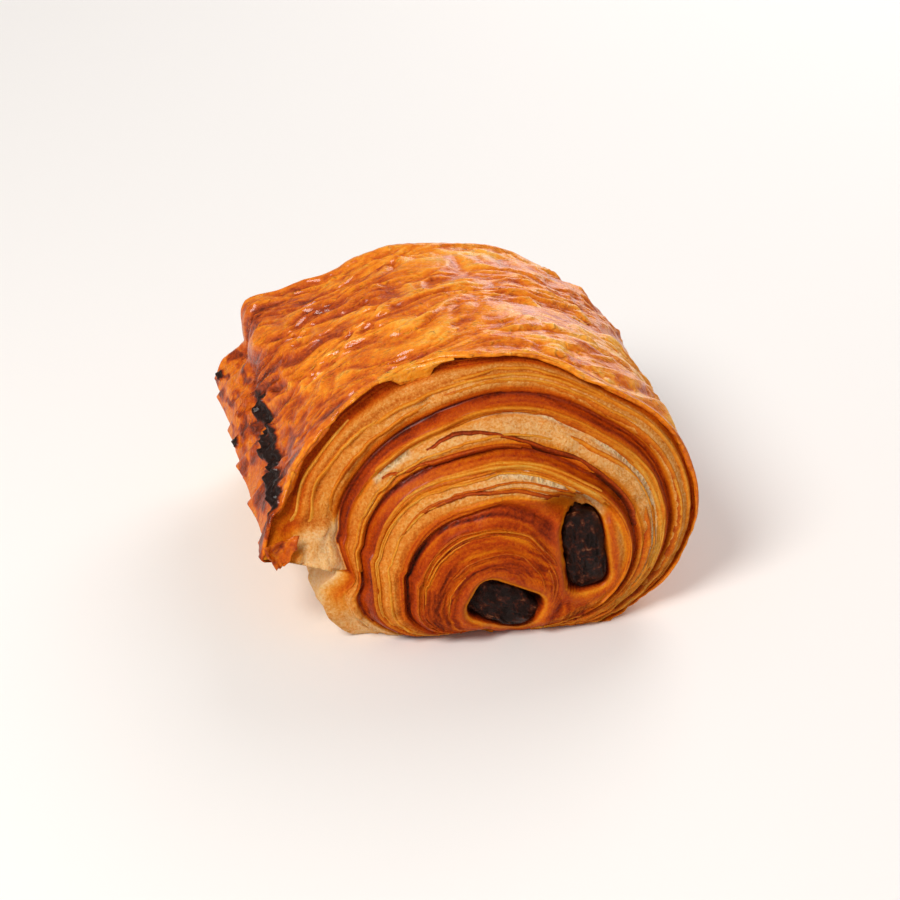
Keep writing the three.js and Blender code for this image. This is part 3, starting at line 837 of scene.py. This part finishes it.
def baked_leaves(side, seed, amount):
    chance = np.random.default_rng(seed)
    ribbons = []
    for _ in range(amount):
        start = chance.uniform(0.02, 3.4)
        length = chance.uniform(0.06, 0.4)
        place = chance.choice([chance.uniform(0.17, 0.36), chance.uniform(0.36, 0.9)], p=[0.6, 0.4])
        in_gap = start < 0.6 and place < 0.4
        if in_gap or (start + length > 0.75 and start < 1.0):
            continue
        count = max(8, round(length / LEAF_STEP))
        along = np.linspace(0, 1, count)
        own = start + length * along
        share = place + 0.05 * grain(own * 6, place * 40, seed + 1) + chance.uniform(-0.06, 0.06) * along
        fade = np.sin(math.pi * along) ** 0.4
        ragged = 0.7 + 0.4 * grain(own * 40, place * 70, seed + 2)
        ragged = ragged + 0.25 * grain(own * 140, place * 90, seed + 3)
        tall = chance.uniform(0.25, 0.65) * mix(1, 0.6, smooth(2.2, 3.6, start)) * ragged * fade
        lean = chance.uniform(-0.2, 0.6)
        broad = chance.uniform(1.2, 3.4) * mix(1, 0.3, smooth(1.5, 2.6, start))
        bake = chance.uniform(0.4, 0.6) + 0.1 * smooth(1.6, 2.8, start)
        share = np.clip(share, 0.14, 0.94)
        keep = clear_of_sticks(side, own, share)
        if keep > LEAF_LEAST_POINTS:
            ribbons.append(leaf_ribbon(side, own[:keep], share[:keep], tall[:keep], lean, broad, bake, seed))
    if side < 0:
        for path, height, bake in SHOWN_LEAVES:
            at = [turns for turns, _ in path]
            own = np.arange(at[0], at[-1], LEAF_STEP)
            share = np.interp(own, at, [place for _, place in path])
            share = share + 0.012 * grain(own * 55, height, seed + 5)
            ends = band((at[0], at[0] + 0.02), (at[-1] - 0.03, at[-1]), own)
            ragged = 0.8 + 0.45 * grain(own * 50, bake * 30, seed + 6)
            ragged = ragged + 0.25 * grain(own * 150, bake * 50, seed + 7)
            ribbons.append(leaf_ribbon(side, own, share, height * ends * ragged, 0.35, 2.2, bake, seed))
    pieces = []
    for spots, shades in ribbons:
        index = np.arange(len(spots) * len(LEAF_SECTION)).reshape(spots.shape[:2])
        pieces.append((spots.reshape(-1, 3), quads_between(index, side > 0), shades.reshape(-1, 4)))
    points, faces, values = joined(pieces)
    points[:, 2] = np.maximum(points[:, 2], -CORE_HEIGHT)
    return points, faces, values


for name, side, seed, amount in (("baked_leaves_front", -1, 301, 110), ("baked_leaves_back", 1, 401, 70)):
    points, faces, values = baked_leaves(side, seed, amount)
    leaves = baked_object(name, points, faces, values, DOUGH_LABELS, dough_finish)
    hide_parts("pastry")
    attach(leaves, "root")


# The glazed sheet: the outermost side of the strip, brushed with egg. In the oven it blisters and slides into
# broad wrinkled steps, and its edge curls over both ends as a thin golden rim. Below the lip it is unglazed.
LIP_COLUMNS = 80
TOP_COLUMNS = 222
UNDER_COLUMNS = 38
LIP_END = 0.075
TOP_TURNS = 0.52
SHEET_END = 0.78
SHEET_DIVE = 1.6
SHEET_ROWS = 270
SHEET_THICK = 0.75
RIM_PROUD = 0.35
BARE_TUCK = 1.0
RIM_FOLD = [(0.2, 0.1), (0.5, 0.05), (0.72, -0.5), (0.8, -1.4), (0.9, -2.6)]
RIM_FOLD_MOST_BAKED = 0.62
LIP_FOLD = [(0.35, 0.0), (0.7, 0.15), (0.85, 1.2)]
SHEET_SPACING = 0.24
# The rim's teeth, each row by its height in millimetres and how many there are to a turn, and its bead.
TEETH = ((1.3, 32), (0.6, 90), (0.25, 260))
BEAD_FROM_RIM = 0.9
BEAD_HALF = 0.6
BEAD_HIGH = 0.5
# The crease above the lip, where it burnt: its turns at the front and back, its half width and where it ends.
CREASE_AT = (0.035, 0.056)
CREASE_RUNS = (-24, 16)
CREASE_HALF = 0.004
BURNT_HALF = 0.0135
BURNT_FADES = (12, 2)
SCORCHED_HALF = 0.02
SCORCHED_FADES = (30, 8)
BURNT_BITS = [(0.014, 31.0), (0.007, 7.0)]
BIT_TURNS = 0.006
BIT_LONG = 1.4
# Millimetres round the roll for each turn, on average, by which the wrinkles are sized.
ARC = 255.0
LEAST_COVER = 0.7
CALM_AT_LIP = (0.004, 0.045)
# How far single places are baked, from 0 for raw to 1 for burnt; the lower cap on the right is painted sheen.
SHEET_BAKE = 0.41
MOST_BAKED = 0.68
MOST_BAKED_RIGHT_AND_SHEEN = 0.57
MOST_SCORCHED = 0.76
RIM_GOLDEN = 0.36
LIP_BAKE = 0.48
LIP_BLOTCHES = 0.24
CHARRED_BAKE = 0.93
UNGLAZED_BAKE = 0.16


def sheet_skin(turns, y):
    """Height of the wrinkles in millimetres, and how far the sheet is baked, with painted shade and highlight
    on its wrinkles.
    """
    angle = LIP_ANGLE - TURN * turns
    drift = HOOP_PITCH * hoop_drift(angle)
    along = turns * ARC
    across = y + drift
    bent = across + 3.2 * grain(along / 15, across / 9, 61) + 1.3 * grain(along / 6, across / 4, 62)
    slid = along + 5.0 * grain(along / 11 + 7, across / 7, 60)
    patchy = smooth(-0.3, 0.5, grain(along / 19, y / 12, 66))
    phase = bent / 5.6 + 0.7 * grain(along / 24, across / 13, 59) + 20
    saw = phase - np.floor(phase)
    fold = saw ** 1.6 * (1 - smooth(0.8, 1, saw))
    fold_strength = smooth(-0.4, 0.5, grain(slid / 14, across / 9, 63))
    rolls = np.abs(grain(slid / 8.5, bent / 2.7, 64))
    wrinkles = 1 - np.abs(grain(slid / 5.2, bent / 1.7, 65)) * 1.6
    small = 1 - np.abs(grain(slid / 2.6, bent / 1.0, 58)) * 1.6
    bubbles = np.maximum(0, grain(slid / 5.5, bent / 3.6, 67) - 0.3) * 1.5
    to_top = smooth(-0.7, 0.0, np.sin(angle))
    to_right = smooth(0.13, 0.27, turns)
    height = mix(0.9, 1.2, to_right) * fold * fold_strength + 1.0 * np.minimum(rolls, 0.6)
    height = height + mix(0.62, 0.5, to_right) * wrinkles * (0.5 + 0.5 * patchy)
    crisp = grain(slid / 1.2, bent / 0.62, 57) * smooth(-0.35, 0.35, grain(slid / 9, bent / 6, 56))
    height = height + mix(0.42, 0.26, to_right) * small * (0.35 + 0.65 * patchy)
    height = (height + 0.7 * bubbles - 1.1) * (0.2 + 0.8 * to_top)
    height = np.maximum(height + mix(0.2, 0.12, to_right) * crisp, -LEAST_COVER)
    valleys = bell(rolls, 0.11)
    folded = smooth(0.86, 0.99, saw) * fold_strength
    # Darker in the valleys and folds, where glaze pools, and paler on the crests: also painted shade in the
    # valleys and painted highlight on the crests.
    bake = SHEET_BAKE + 0.07 * grain(along / 24, y / 13, 68) + 0.03 * patchy + 0.05 * valleys + 0.07 * folded
    bake = bake + 0.1 * grain(slid / 6, bent / 2.4, 69) - 0.08 * np.clip(bubbles, 0, 1)
    bake = bake - 0.1 * (rolls - 0.25) - 0.12 * (wrinkles - 0.6) - 0.1 * (small - 0.6) - 0.12 * crisp
    # Browner towards the lip; paler from the top to the right, with a lower cap there: painted sheen.
    bake = bake + 0.13 * smooth(0.2, 0.06, turns) - 0.05 * smooth(0.2, 0.28, turns)
    return height, np.minimum(bake, mix(MOST_BAKED, MOST_BAKED_RIGHT_AND_SHEEN, smooth(0.1, 0.25, turns)))


def glazed_sheet():
    at_lip = LIP_END * np.arange(LIP_COLUMNS) / LIP_COLUMNS
    over = mix(LIP_END, TOP_TURNS, np.arange(TOP_COLUMNS) / TOP_COLUMNS)
    under = mix(TOP_TURNS, SHEET_END, np.arange(UNDER_COLUMNS + 1) / UNDER_COLUMNS)
    turns = np.concatenate([at_lip, over, under])[:, None]
    angle = LIP_ANGLE - TURN * turns
    ends = {}
    for side in (-1, 1):
        (broad_high, broad_rate), (sharp_high, sharp_rate), (fine_high, fine_rate) = TEETH
        teeth = broad_high * grain(turns * broad_rate, 2.5 + side, 71)
        teeth = teeth + sharp_high * np.abs(grain(turns * sharp_rate, 5.5 + side, 72))
        teeth = teeth + fine_high * grain(turns * fine_rate, 7.5 + side, 70)
        dome = dome_back(angle, side, 1 - WRAP_SHARE * turns)
        bare = smooth(0.6, 0.7, turns)
        proud = RIM_PROUD * rim_gap(turns) + teeth * (1 - bare) - BARE_TUCK * bare - rim_bay(side, turns)
        ends[side] = side * (ROLL_LENGTH / 2 - dome + proud)
    share = (np.arange(SHEET_ROWS + 1) / SHEET_ROWS)[None, :]
    y = mix(ends[-1], ends[1], share)
    turns = turns * np.ones_like(y)
    angle = LIP_ANGLE - TURN * turns
    height, bake = sheet_skin(turns, y)
    to_rim = np.minimum(y - ends[-1], ends[1] - y)
    at_edge = smooth(0.0, 3.0, to_rim) * mix(0.1, 1, smooth(*CALM_AT_LIP, turns))
    height = height * at_edge + 0.4 * grain(turns * 40, 1.5, 73) * (1 - smooth(0, 4, to_rim))
    bead = bell(to_rim - BEAD_FROM_RIM - 0.3 * grain(turns * 60, 2.5, 87), BEAD_HALF)
    bead = bead * (1 - smooth(0.5, 0.6, turns))
    height = height + BEAD_HIGH * bead * (0.6 + 0.6 * grain(turns * 45, 4.5, 88))

    # The crease above the lip, its char with blisters, and two burnt bits on the lip.
    crease_at = mix(*CREASE_AT, smooth(*CREASE_RUNS, y)) + 0.003 * grain(y / 8, 1.5, 74)
    burnt_half = BURNT_HALF * (0.8 + 0.45 * grain(y / 5.5, 3.5, 79))
    burnt = bell(turns - crease_at, burnt_half) * smooth(*BURNT_FADES, y) * smooth(0.2, 1.6, to_rim)
    ragged = 0.2 * grain(y / 3.7, turns * 70, 78) + 0.1 * grain(y / 1.5, turns * 150, 80)
    charred = smooth(0.36, 0.66, burnt + ragged * smooth(0.06, 0.4, burnt)) * smooth(0.008, 0.015, turns)
    for bit_turns, bit_y in BURNT_BITS:
        spot = bell(turns - bit_turns, BIT_TURNS) * bell(y - bit_y, BIT_LONG)
        charred = np.maximum(charred, smooth(0.35, 0.6, spot + 0.2 * grain(y / 0.9, turns * 260, 90)))
    blisters = 0.5 * grain(y / 1.7 + turns * 90, turns * 170, 81) + 0.3 * grain(y / 0.8, turns * 260, 82)
    height = height + charred * (0.6 + 1.0 * blisters) - 0.5 * bell(turns - crease_at, CREASE_HALF)
    dive = SHEET_DIVE * smooth(0.735, SHEET_END, turns + 0.004 * grain(y / 3, 1.5, 86))
    radius = outside_radius(turns, y) + height - dive
    lift = curl(turns, y)

    # Colour: golden rim, caramel pools, the burnt crease above the lip, and pale dough below it.
    golden = (1 - smooth(0.2, 2.6, to_rim)) * 0.85 * smooth(0.02, 0.06, turns)
    bake = mix(bake, RIM_GOLDEN + 0.1 * grain(turns * 200, to_rim / 0.4, 89), golden)
    pools = bell(turns - 0.1, 0.07) * bell(y + 24, 10)
    bake = bake + 0.12 * pools * (0.6 + 0.6 * grain(turns * 90, y / 3, 75))
    corner = smooth(0.22, 0.02, turns) * smooth(5, 34, y)
    bake = bake + 0.12 * corner * (0.5 + grain(turns * 60, y / 5, 76))
    shifted = y + 2.2 * grain(turns * 150, y / 2.5, 84)
    blotches = smooth(-0.15, 0.7, grain(turns * 110 + 0.8 * grain(y / 2, turns * 90, 85), shifted / 3.5, 77))
    on_lip = 1 - smooth(crease_at - 0.008, crease_at, turns)
    bake = mix(bake, LIP_BAKE + LIP_BLOTCHES * blotches, on_lip)
    scorched = bell(turns - crease_at, SCORCHED_HALF) * smooth(*SCORCHED_FADES, y)
    bake = bake + 0.15 * scorched * (0.7 + 0.6 * grain(turns * 110, y / 2.5, 83)) * smooth(0, 5, to_rim)
    bake = np.minimum(bake, MOST_SCORCHED)
    bake = mix(bake, CHARRED_BAKE + 0.05 * blisters, charred)
    unglazed = smooth(0.72, 0.76, turns)
    bake = mix(bake, UNGLAZED_BAKE + 0.1 * grain(turns * ARC / 2, y / 1.5, 79), unglazed)
    bake = bake + 0.12 * smooth(0.5, 0.72, turns) * (1 - unglazed)
    glaze = (1 - unglazed) * mix(0.45, 1.0, smooth(-0.3, 0.3, np.sin(angle)))
    glaze = glaze * (1 - 0.4 * on_lip) * (1 - 0.5 * charred)
    x, y, z = on_floor(radius * np.cos(angle), y, radius * np.sin(angle) + lift, 1 - 2 * (y < 0))
    rows = [np.stack([x, y, z], -1)]
    data = [np.stack([bake, glaze, unglazed], -1)]

    # The rim folds over its own thickness at both ends, and is painted darker as it turns under: painted
    # shade under the rim.
    for side, column in ((-1, 0), (1, -1)):
        strip = []
        colours = []
        for inwards, forwards in RIM_FOLD:
            beside = column - side * round(max(0, -forwards) / SHEET_SPACING)
            edge_radius = radius[:, beside] - inwards * SHEET_THICK / 0.8
            edge_y = y[:, beside] + side * max(0, forwards)
            edge_angle = angle[:, column]
            edge_z = np.maximum(edge_radius * np.sin(edge_angle) + lift[:, column], -CORE_HEIGHT)
            strip.append(np.stack([edge_radius * np.cos(edge_angle), edge_y, edge_z], -1))
            shade = 0.4 + 0.12 * inwards - forwards * 0.06
            as_sheet = np.maximum(unglazed[:, column], 1 - smooth(0.02, 0.06, turns[:, column]))
            shade = mix(shade, np.minimum(bake[:, column], RIM_FOLD_MOST_BAKED), as_sheet)
            colours.append(np.stack([shade, glaze[:, column] * 0.5, unglazed[:, column]], -1))
        strip = np.stack(strip, 1)
        colours = np.stack(colours, 1)
        if side < 0:
            rows.insert(0, strip[:, ::-1])
            data.insert(0, colours[:, ::-1])
        else:
            rows.append(strip)
            data.append(colours)
    grid = np.concatenate(rows, 1)
    values = np.concatenate(data, 1)

    # The free edge of the lip folds under in the same way.
    edge = grid[0]
    tuck = []
    for inwards, back_under in LIP_FOLD:
        moved = edge.copy()
        length = np.hypot(edge[:, 0], edge[:, 2])
        moved[:, 0] = edge[:, 0] * (1 - (inwards * 0.6 + back_under) / length)
        moved[:, 2] = edge[:, 2] - inwards
        tuck.append(moved)
    grid = np.concatenate([np.stack(tuck[::-1]), grid], 0)
    values = np.concatenate([np.repeat(values[:1], len(LIP_FOLD), 0), values], 0)
    points = grid.reshape(-1, 3)
    index = np.arange(len(points)).reshape(grid.shape[:2])
    return points, quads_between(index.T), values.reshape(-1, 3)


SHEET_STOPS = [
    (0.0, (252, 222, 166)), (0.18, (252, 202, 118)), (0.34, (252, 174, 60)), (0.48, (242, 140, 18)),
    (0.6, (216, 104, 4)), (0.72, (176, 66, 3)), (0.84, (112, 38, 8)), (0.92, (62, 27, 14)),
    (1.0, (32, 14, 8)),
]
sheet_finish, nodes, links, shader = new_material("glazed_sheet")
place = nodes.new("ShaderNodeTexCoord").outputs["Object"]
stretch = nodes.new("ShaderNodeMapping")
stretch.inputs["Scale"].default_value = (1.0, 2.3, 1.0)
links.new(place, stretch.inputs["Vector"])
crinkle = nodes.new("ShaderNodeTexNoise")
crinkle.noise_type = "RIDGED_MULTIFRACTAL"
crinkle.inputs["Scale"].default_value = 620
crinkle.inputs["Detail"].default_value = 4
crinkle.inputs["Roughness"].default_value = 0.55
crinkle.inputs["Distortion"].default_value = 0.6
crinkle.normalize = True
links.new(stretch.outputs["Vector"], crinkle.inputs["Vector"])
fine = noise_node(nodes, links, place, 1100, 5, 0.65)
broad = noise_node(nodes, links, place, 210, 4)
bake_value = nudged(nodes, links, attribute_node(nodes, "bake"), fine, 0.34)
bake_value = nudged(nodes, links, bake_value, broad, 0.18)
# The crinkles are paler on their ridges and darker between them: painted highlight and painted shade.
bake_value = nudged(nodes, links, bake_value, crinkle.outputs["Fac"], -0.2)
baked = ramp_node(nodes, links, bake_value, SHEET_STOPS)
crumb_colour = ramp_node(nodes, links, bake_value, CRUMB_STOPS)
surface = colour_mix(nodes, links, attribute_node(nodes, "unglazed"), baked, crumb_colour)
links.new(surface, shader.inputs["Base Color"])
links.new(nudged(nodes, links, glazed_roughness(nodes, links), broad, 0.25), shader.inputs["Roughness"])
baked_gloss(nodes, links, shader, coat_weight=0.46, coat_roughness=0.14, specular=0.1, translucent=0.08)
bumps(nodes, links, shader, [(crinkle.outputs["Fac"], 0.0008, 0.9), (fine, 0.0004, 0.7)])

points, faces, values = glazed_sheet()
SHEET_LABELS = ("bake", "glaze", "unglazed")
sheet = baked_object("glazed_sheet", points, faces, values, SHEET_LABELS, sheet_finish)
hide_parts("pastry")
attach(sheet, "root")


# Torn scraps of the glazed sheet: a thin golden flap hangs from the rim over the gap, a second edge lies
# under the rim, and a browned flake sticks out below the front corner of the lip. All are paper-thin dough.
SCRAP_STEPS = 90
SCRAP_THICK = 0.16
SCRAP_GLAZE = 0.7
SCRAP_INSIDE = 0.6
HANGING_FLAP = [
    (0.142, 0.1), (0.15, 1.2), (0.155, 3.2), (0.16, 3.9), (0.165, 3.8), (0.17, 4.4), (0.174, 4.7),
    (0.1765, 3.0), (0.18, 1.4), (0.186, 0.5), (0.194, 0.1),
]
SECOND_EDGE = [
    (0.2, 0.05), (0.22, 0.5), (0.25, 0.6), (0.27, 1.0), (0.29, 0.5), (0.34, 0.7), (0.38, 0.9), (0.42, 0.1),
]
LEFT_EDGE = [(0.03, 0.2), (0.05, 1.3), (0.07, 0.8), (0.09, 1.4), (0.11, 0.2)]
FLAKE_STEPS = 16
FLAKE_WIDE = 7.2
FLAKE_TALL = 5.2
FLAKE_THICK = 0.3
FLAKE_BAKE = 0.55
FLAKE_GLAZE = 0.5
# Where the flake's upper edge lies from the lip's corner: inwards, towards the front and up.
FLAKE_INWARDS = 3.4
FLAKE_FORWARDS = 1.7
FLAKE_UP = 4.6


def rim_scrap(outline, rows, proud, seed):
    """A thin sheet that hangs inwards from the rim by the listed millimetres, as a grid of points."""
    own = np.linspace(outline[0][0], outline[-1][0], SCRAP_STEPS)
    hang = np.interp(own, [place for place, _ in outline], [amount for _, amount in outline])
    ragged = hang * (1 + 0.2 * grain(own * 90, 2.5, seed) + 0.15 * grain(own * 260, 4.5, seed + 1))
    angle = LIP_ANGLE - TURN * own
    rim_y = -(ROLL_LENGTH / 2 - dome_back(angle, -1, 1 - WRAP_SHARE * own))
    edge = outside_radius(own, rim_y)
    front = []
    for k in range(rows + 1):
        share = k / rows
        inwards = 0.05 + share * ragged
        attached = smooth(0, 0.18, share)
        forwards = proud * (1 - 0.55 * share ** 2) + 0.25 * grain(own * 45, share * 3, seed + 2)
        forwards = mix(-SCRAP_INSIDE, forwards, attached) - rim_bay(-1, own)
        radius = edge - inwards
        front.append(np.stack([radius * np.cos(angle), rim_y - forwards, radius * np.sin(angle)], -1))
    return np.stack(front, 1)


def thin_sheet(grid, thickness):
    """Both faces of a grid of points, joined round the edge."""
    tall, wide = grid.shape[:2]
    across = np.gradient(grid, axis=0)
    down = np.gradient(grid, axis=1)
    normal = np.cross(across, down)
    normal = normal / np.maximum(np.linalg.norm(normal, axis=-1, keepdims=True), 1e-9)
    points = np.concatenate([grid.reshape(-1, 3), (grid - normal * thickness).reshape(-1, 3)])
    index = np.arange(tall * wide).reshape(tall, wide)
    near = quads_between(index.T)
    faces = near + [[k + tall * wide for k in quad[::-1]] for quad in near]
    loop = np.concatenate([index[:, 0], index[-1, 1:], index[-2::-1, -1], index[0, -2:0:-1]])
    for a, b in zip(loop, np.roll(loop, -1)):
        faces.append([int(b), int(a), int(a) + tall * wide, int(b) + tall * wide])
    return points, faces


scraps = []
for outline, rows, proud, bake, seed in (
    (HANGING_FLAP, 12, 0.95, 0.34, 501),
    (SECOND_EDGE, 5, 0.5, 0.5, 511),
    (LEFT_EDGE, 5, 0.6, 0.52, 521),
):
    spots, quads = thin_sheet(rim_scrap(outline, rows, proud, seed), SCRAP_THICK)
    scraps.append((spots, quads, np.broadcast_to((bake, SCRAP_GLAZE, 0.0), (len(spots), 3))))

# The flake below the front corner of the lip, as a curled triangle.
corner_y = -(ROLL_LENGTH / 2 - rim_set_back(LIP_ANGLE, -1))
corner_radius = float(outside_radius(np.array(0.004), corner_y)) - FLAKE_INWARDS
flake_x = corner_radius * math.cos(LIP_ANGLE)
flake_y = corner_y - FLAKE_FORWARDS
flake_z = corner_radius * math.sin(LIP_ANGLE) + FLAKE_UP
along = np.linspace(0, 1, FLAKE_STEPS)[:, None]
down = np.linspace(0, 1, FLAKE_STEPS)[None, :]
narrow = 1 - 0.8 * down ** 1.3
flake = np.stack([
    flake_x + FLAKE_WIDE * (along - 0.45) * narrow + 0.3 * grain(along * 5, down * 5, 531),
    flake_y + 1.5 * np.sin(along * 2.6) * narrow + 0.5 * grain(along * 4, down * 4, 532),
    flake_z - FLAKE_TALL * down + 0.5 * along + 0.35 * grain(along * 6, down * 3, 533),
], -1)
spots, quads = thin_sheet(flake, FLAKE_THICK)
shade = FLAKE_BAKE + 0.12 * grain(spots[:, 0] * 1.2, spots[:, 2] * 1.2, 534)
rest = np.broadcast_to((FLAKE_GLAZE, 0.0), (len(spots), 2))
scraps.append((spots, quads, np.concatenate([shade[:, None], rest], 1)))

points, faces, values = joined(scraps)
torn = baked_object("torn_scraps", points, faces, values, SHEET_LABELS, sheet_finish)
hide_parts("pastry")
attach(torn, "root")


# The chocolate sticks. Straight sticks of dark baking chocolate are laid on the dough before it is rolled.
# They soften in the oven and set again, so their ends are rounded, scratched and dusted with crumbs.
STICK_AROUND = 72
STICK_STATIONS = 90
STICK_CAP = 2.4
STICK_NOSE = 26
STICK_NOSE_OUT = 0.9
STICK_SQUARE = 3.2
STICK_SEED = 90
CORE_TAPER = 0.35
HALF_THICK = 3.6


def stick_mesh(name):
    at_x, at_z, tilt = STICK_PLACES[name]
    seed = STICK_SEED + len(name)
    theta = TURN * np.arange(STICK_AROUND) / STICK_AROUND
    ring = np.abs(np.cos(theta)) ** STICK_SQUARE + np.abs(np.sin(theta)) ** STICK_SQUARE
    ring = ring ** (-1 / STICK_SQUARE)
    wide = ring * np.cos(theta) * STICK_SECTIONS[name][0] / 2
    thick = ring * np.sin(theta) * STICK_SECTIONS[name][1] / 2
    half = STICK_LENGTH / 2 + STICK_NOSE_OUT
    ramp = np.linspace(0, 1, STICK_NOSE + 1)
    front = -half + STICK_CAP * (1 - np.cos(ramp * math.pi / 2))
    front_scale = 0.06 + 0.94 * np.sin(ramp * math.pi / 2) ** 0.5
    middle = np.linspace(-half + STICK_CAP, half - STICK_CAP, STICK_STATIONS)[1:-1]
    stations = np.concatenate([front, middle, -front[::-1]])
    scale = np.concatenate([front_scale, np.ones(len(middle)), front_scale[::-1]])
    y = stations[:, None] * np.ones((1, STICK_AROUND))
    across_wide = wide[None] * scale[:, None]
    across_thick = thick[None] * scale[:, None]
    if name == "chocolate_stick_core":
        across_thick = across_thick * (1 - CORE_TAPER * smooth(-3, 7, across_wide) * (across_thick > 0))
    bent = across_thick / 0.75 + 0.5 * grain(across_wide / 2, y / 6, seed + 4)
    furrows = np.abs(grain(bent, across_wide / 5, seed + 3))
    dents = grain(across_wide / 2.3, across_thick / 1.6, seed + 5)
    rough = 0.3 * grain(across_wide / 1.8, y / 4 + seed, seed)
    rough = rough + 0.16 * grain(across_wide / 0.6, y / 2.0, seed + 1)
    across_thick = across_thick * (1 + rough / HALF_THICK)
    across_wide = across_wide * (1 + 0.35 * grain(across_thick / 1.6, y / 3, seed + 2) / HALF_THICK)
    y = y + np.sign(y) * (0.9 * furrows - 0.4 + 0.5 * dents) * smooth(1.0, 0.8, scale)[:, None]
    x = at_x + across_wide * math.cos(tilt) - across_thick * math.sin(tilt)
    z = at_z + across_wide * math.sin(tilt) + across_thick * math.cos(tilt)
    points = np.stack([x, y, z], -1).reshape(-1, 3)
    index = np.arange(len(points)).reshape(len(stations), STICK_AROUND)
    ahead = np.roll(index, -1, 1)
    quads = np.stack([index[:-1], ahead[:-1], ahead[1:], index[1:]], -1).reshape(-1, 4).tolist()
    centres = np.array([[at_x, stations[0] - 0.05, at_z], [at_x, stations[-1] + 0.05, at_z]])
    first = len(points)
    for i in range(STICK_AROUND):
        quads.append([first, int(ahead[0, i]), int(index[0, i])])
        quads.append([first + 1, int(index[-1, i]), int(ahead[-1, i])])
    points = np.concatenate([points, centres])
    return points, quads, np.zeros((len(points), 1))


CHOCOLATE_STOPS = [(0.34, (20, 6, 2)), (0.5, (36, 13, 5)), (0.6, (78, 30, 13)), (0.72, (170, 112, 72))]
chocolate_finish, nodes, links, shader = new_material("dark_chocolate")
place = nodes.new("ShaderNodeTexCoord").outputs["Object"]
streaks = noise_node(nodes, links, place, 640, 5, 0.7)
chocolate_colour = ramp_node(nodes, links, streaks, CHOCOLATE_STOPS)
links.new(chocolate_colour, shader.inputs["Base Color"])
shader.inputs["Roughness"].default_value = 0.24
shader.inputs["Specular IOR Level"].default_value = 0.24
scratches = noise_node(nodes, links, place, 1100, 6, 0.7)
bumps(nodes, links, shader, [(streaks, 0.0012, 0.6), (scratches, 0.0008, 0.9)])
for stick_name in STICK_PLACES:
    points, faces, values = stick_mesh(stick_name)
    dark_name = stick_name.replace("chocolate_stick", "dark_stick")
    stick = baked_object(dark_name, points, faces, values, ("plain",), chocolate_finish)
    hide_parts(stick_name)
    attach(stick, "root")


# The table: a plain pale, slightly warm surface, under soft studio light from above.
TABLE_HALF = 4
floor_corners = [(x * TABLE_HALF, y * TABLE_HALF, 0) for x, y in ((-1, -1), (1, -1), (1, 1), (-1, 1))]
floor_mesh = bpy.data.meshes.new("table")
floor_mesh.from_pydata(floor_corners, [], [(0, 1, 2, 3)])
table = bpy.data.objects.new("table", floor_mesh)
bpy.context.scene.collection.objects.link(table)
table_finish, nodes, links, shader = new_material("pale_table")
shader.inputs["Base Color"].default_value = (0.9, 0.875, 0.855, 1)
shader.inputs["Roughness"].default_value = 0.7
table.data.materials.append(table_finish)

world = bpy.data.worlds.new("studio")
world.use_nodes = True
world.node_tree.nodes["Background"].inputs["Color"].default_value = (1.0, 0.985, 0.97, 1)
world.node_tree.nodes["Background"].inputs["Strength"].default_value = 0.36
bpy.context.scene.world = world

AIM = Vector((-0.0008, -0.010, 0.0234))


def soft_light(name, place, size, power, colour):
    light = bpy.data.lights.new(name, "AREA")
    light.shape = "DISK"
    light.size = size
    light.energy = power
    light.color = colour
    made = bpy.data.objects.new(name, light)
    made.location = place
    made.rotation_euler = (AIM - Vector(place)).to_track_quat("-Z", "Y").to_euler()
    bpy.context.scene.collection.objects.link(made)
    return made


soft_light("key_light", (-0.45, -0.35, 0.62), 0.36, 5.3, (1.0, 0.97, 0.93))
soft_light("back_light", (0.42, 0.5, 0.5), 0.5, 2.3, (1.0, 0.98, 0.97))
soft_light("sweep_light", (0.55, 0.85, 0.22), 0.7, 2.2, (1.0, 0.97, 0.97))

CAMERA_AZIMUTH = math.radians(-14)
CAMERA_ELEVATION = math.radians(30)
CAMERA_DISTANCE = 0.48
FOCAL_PIXELS = 2540
PICTURE_PIXELS = 900
SENSOR_MM = 36
camera_data = bpy.data.cameras.new("camera")
camera_data.sensor_width = SENSOR_MM
camera_data.lens = FOCAL_PIXELS * SENSOR_MM / PICTURE_PIXELS
camera_data.clip_start = 0.01
camera = bpy.data.objects.new("camera", camera_data)
camera.location = AIM + CAMERA_DISTANCE * Vector((
    math.sin(CAMERA_AZIMUTH) * math.cos(CAMERA_ELEVATION),
    -math.cos(CAMERA_AZIMUTH) * math.cos(CAMERA_ELEVATION),
    math.sin(CAMERA_ELEVATION),
))
camera.rotation_euler = (AIM - camera.location).to_track_quat("-Z", "Y").to_euler()
bpy.context.scene.collection.objects.link(camera)
bpy.context.scene.camera = camera
bpy.context.scene.view_settings.view_transform = "Standard"
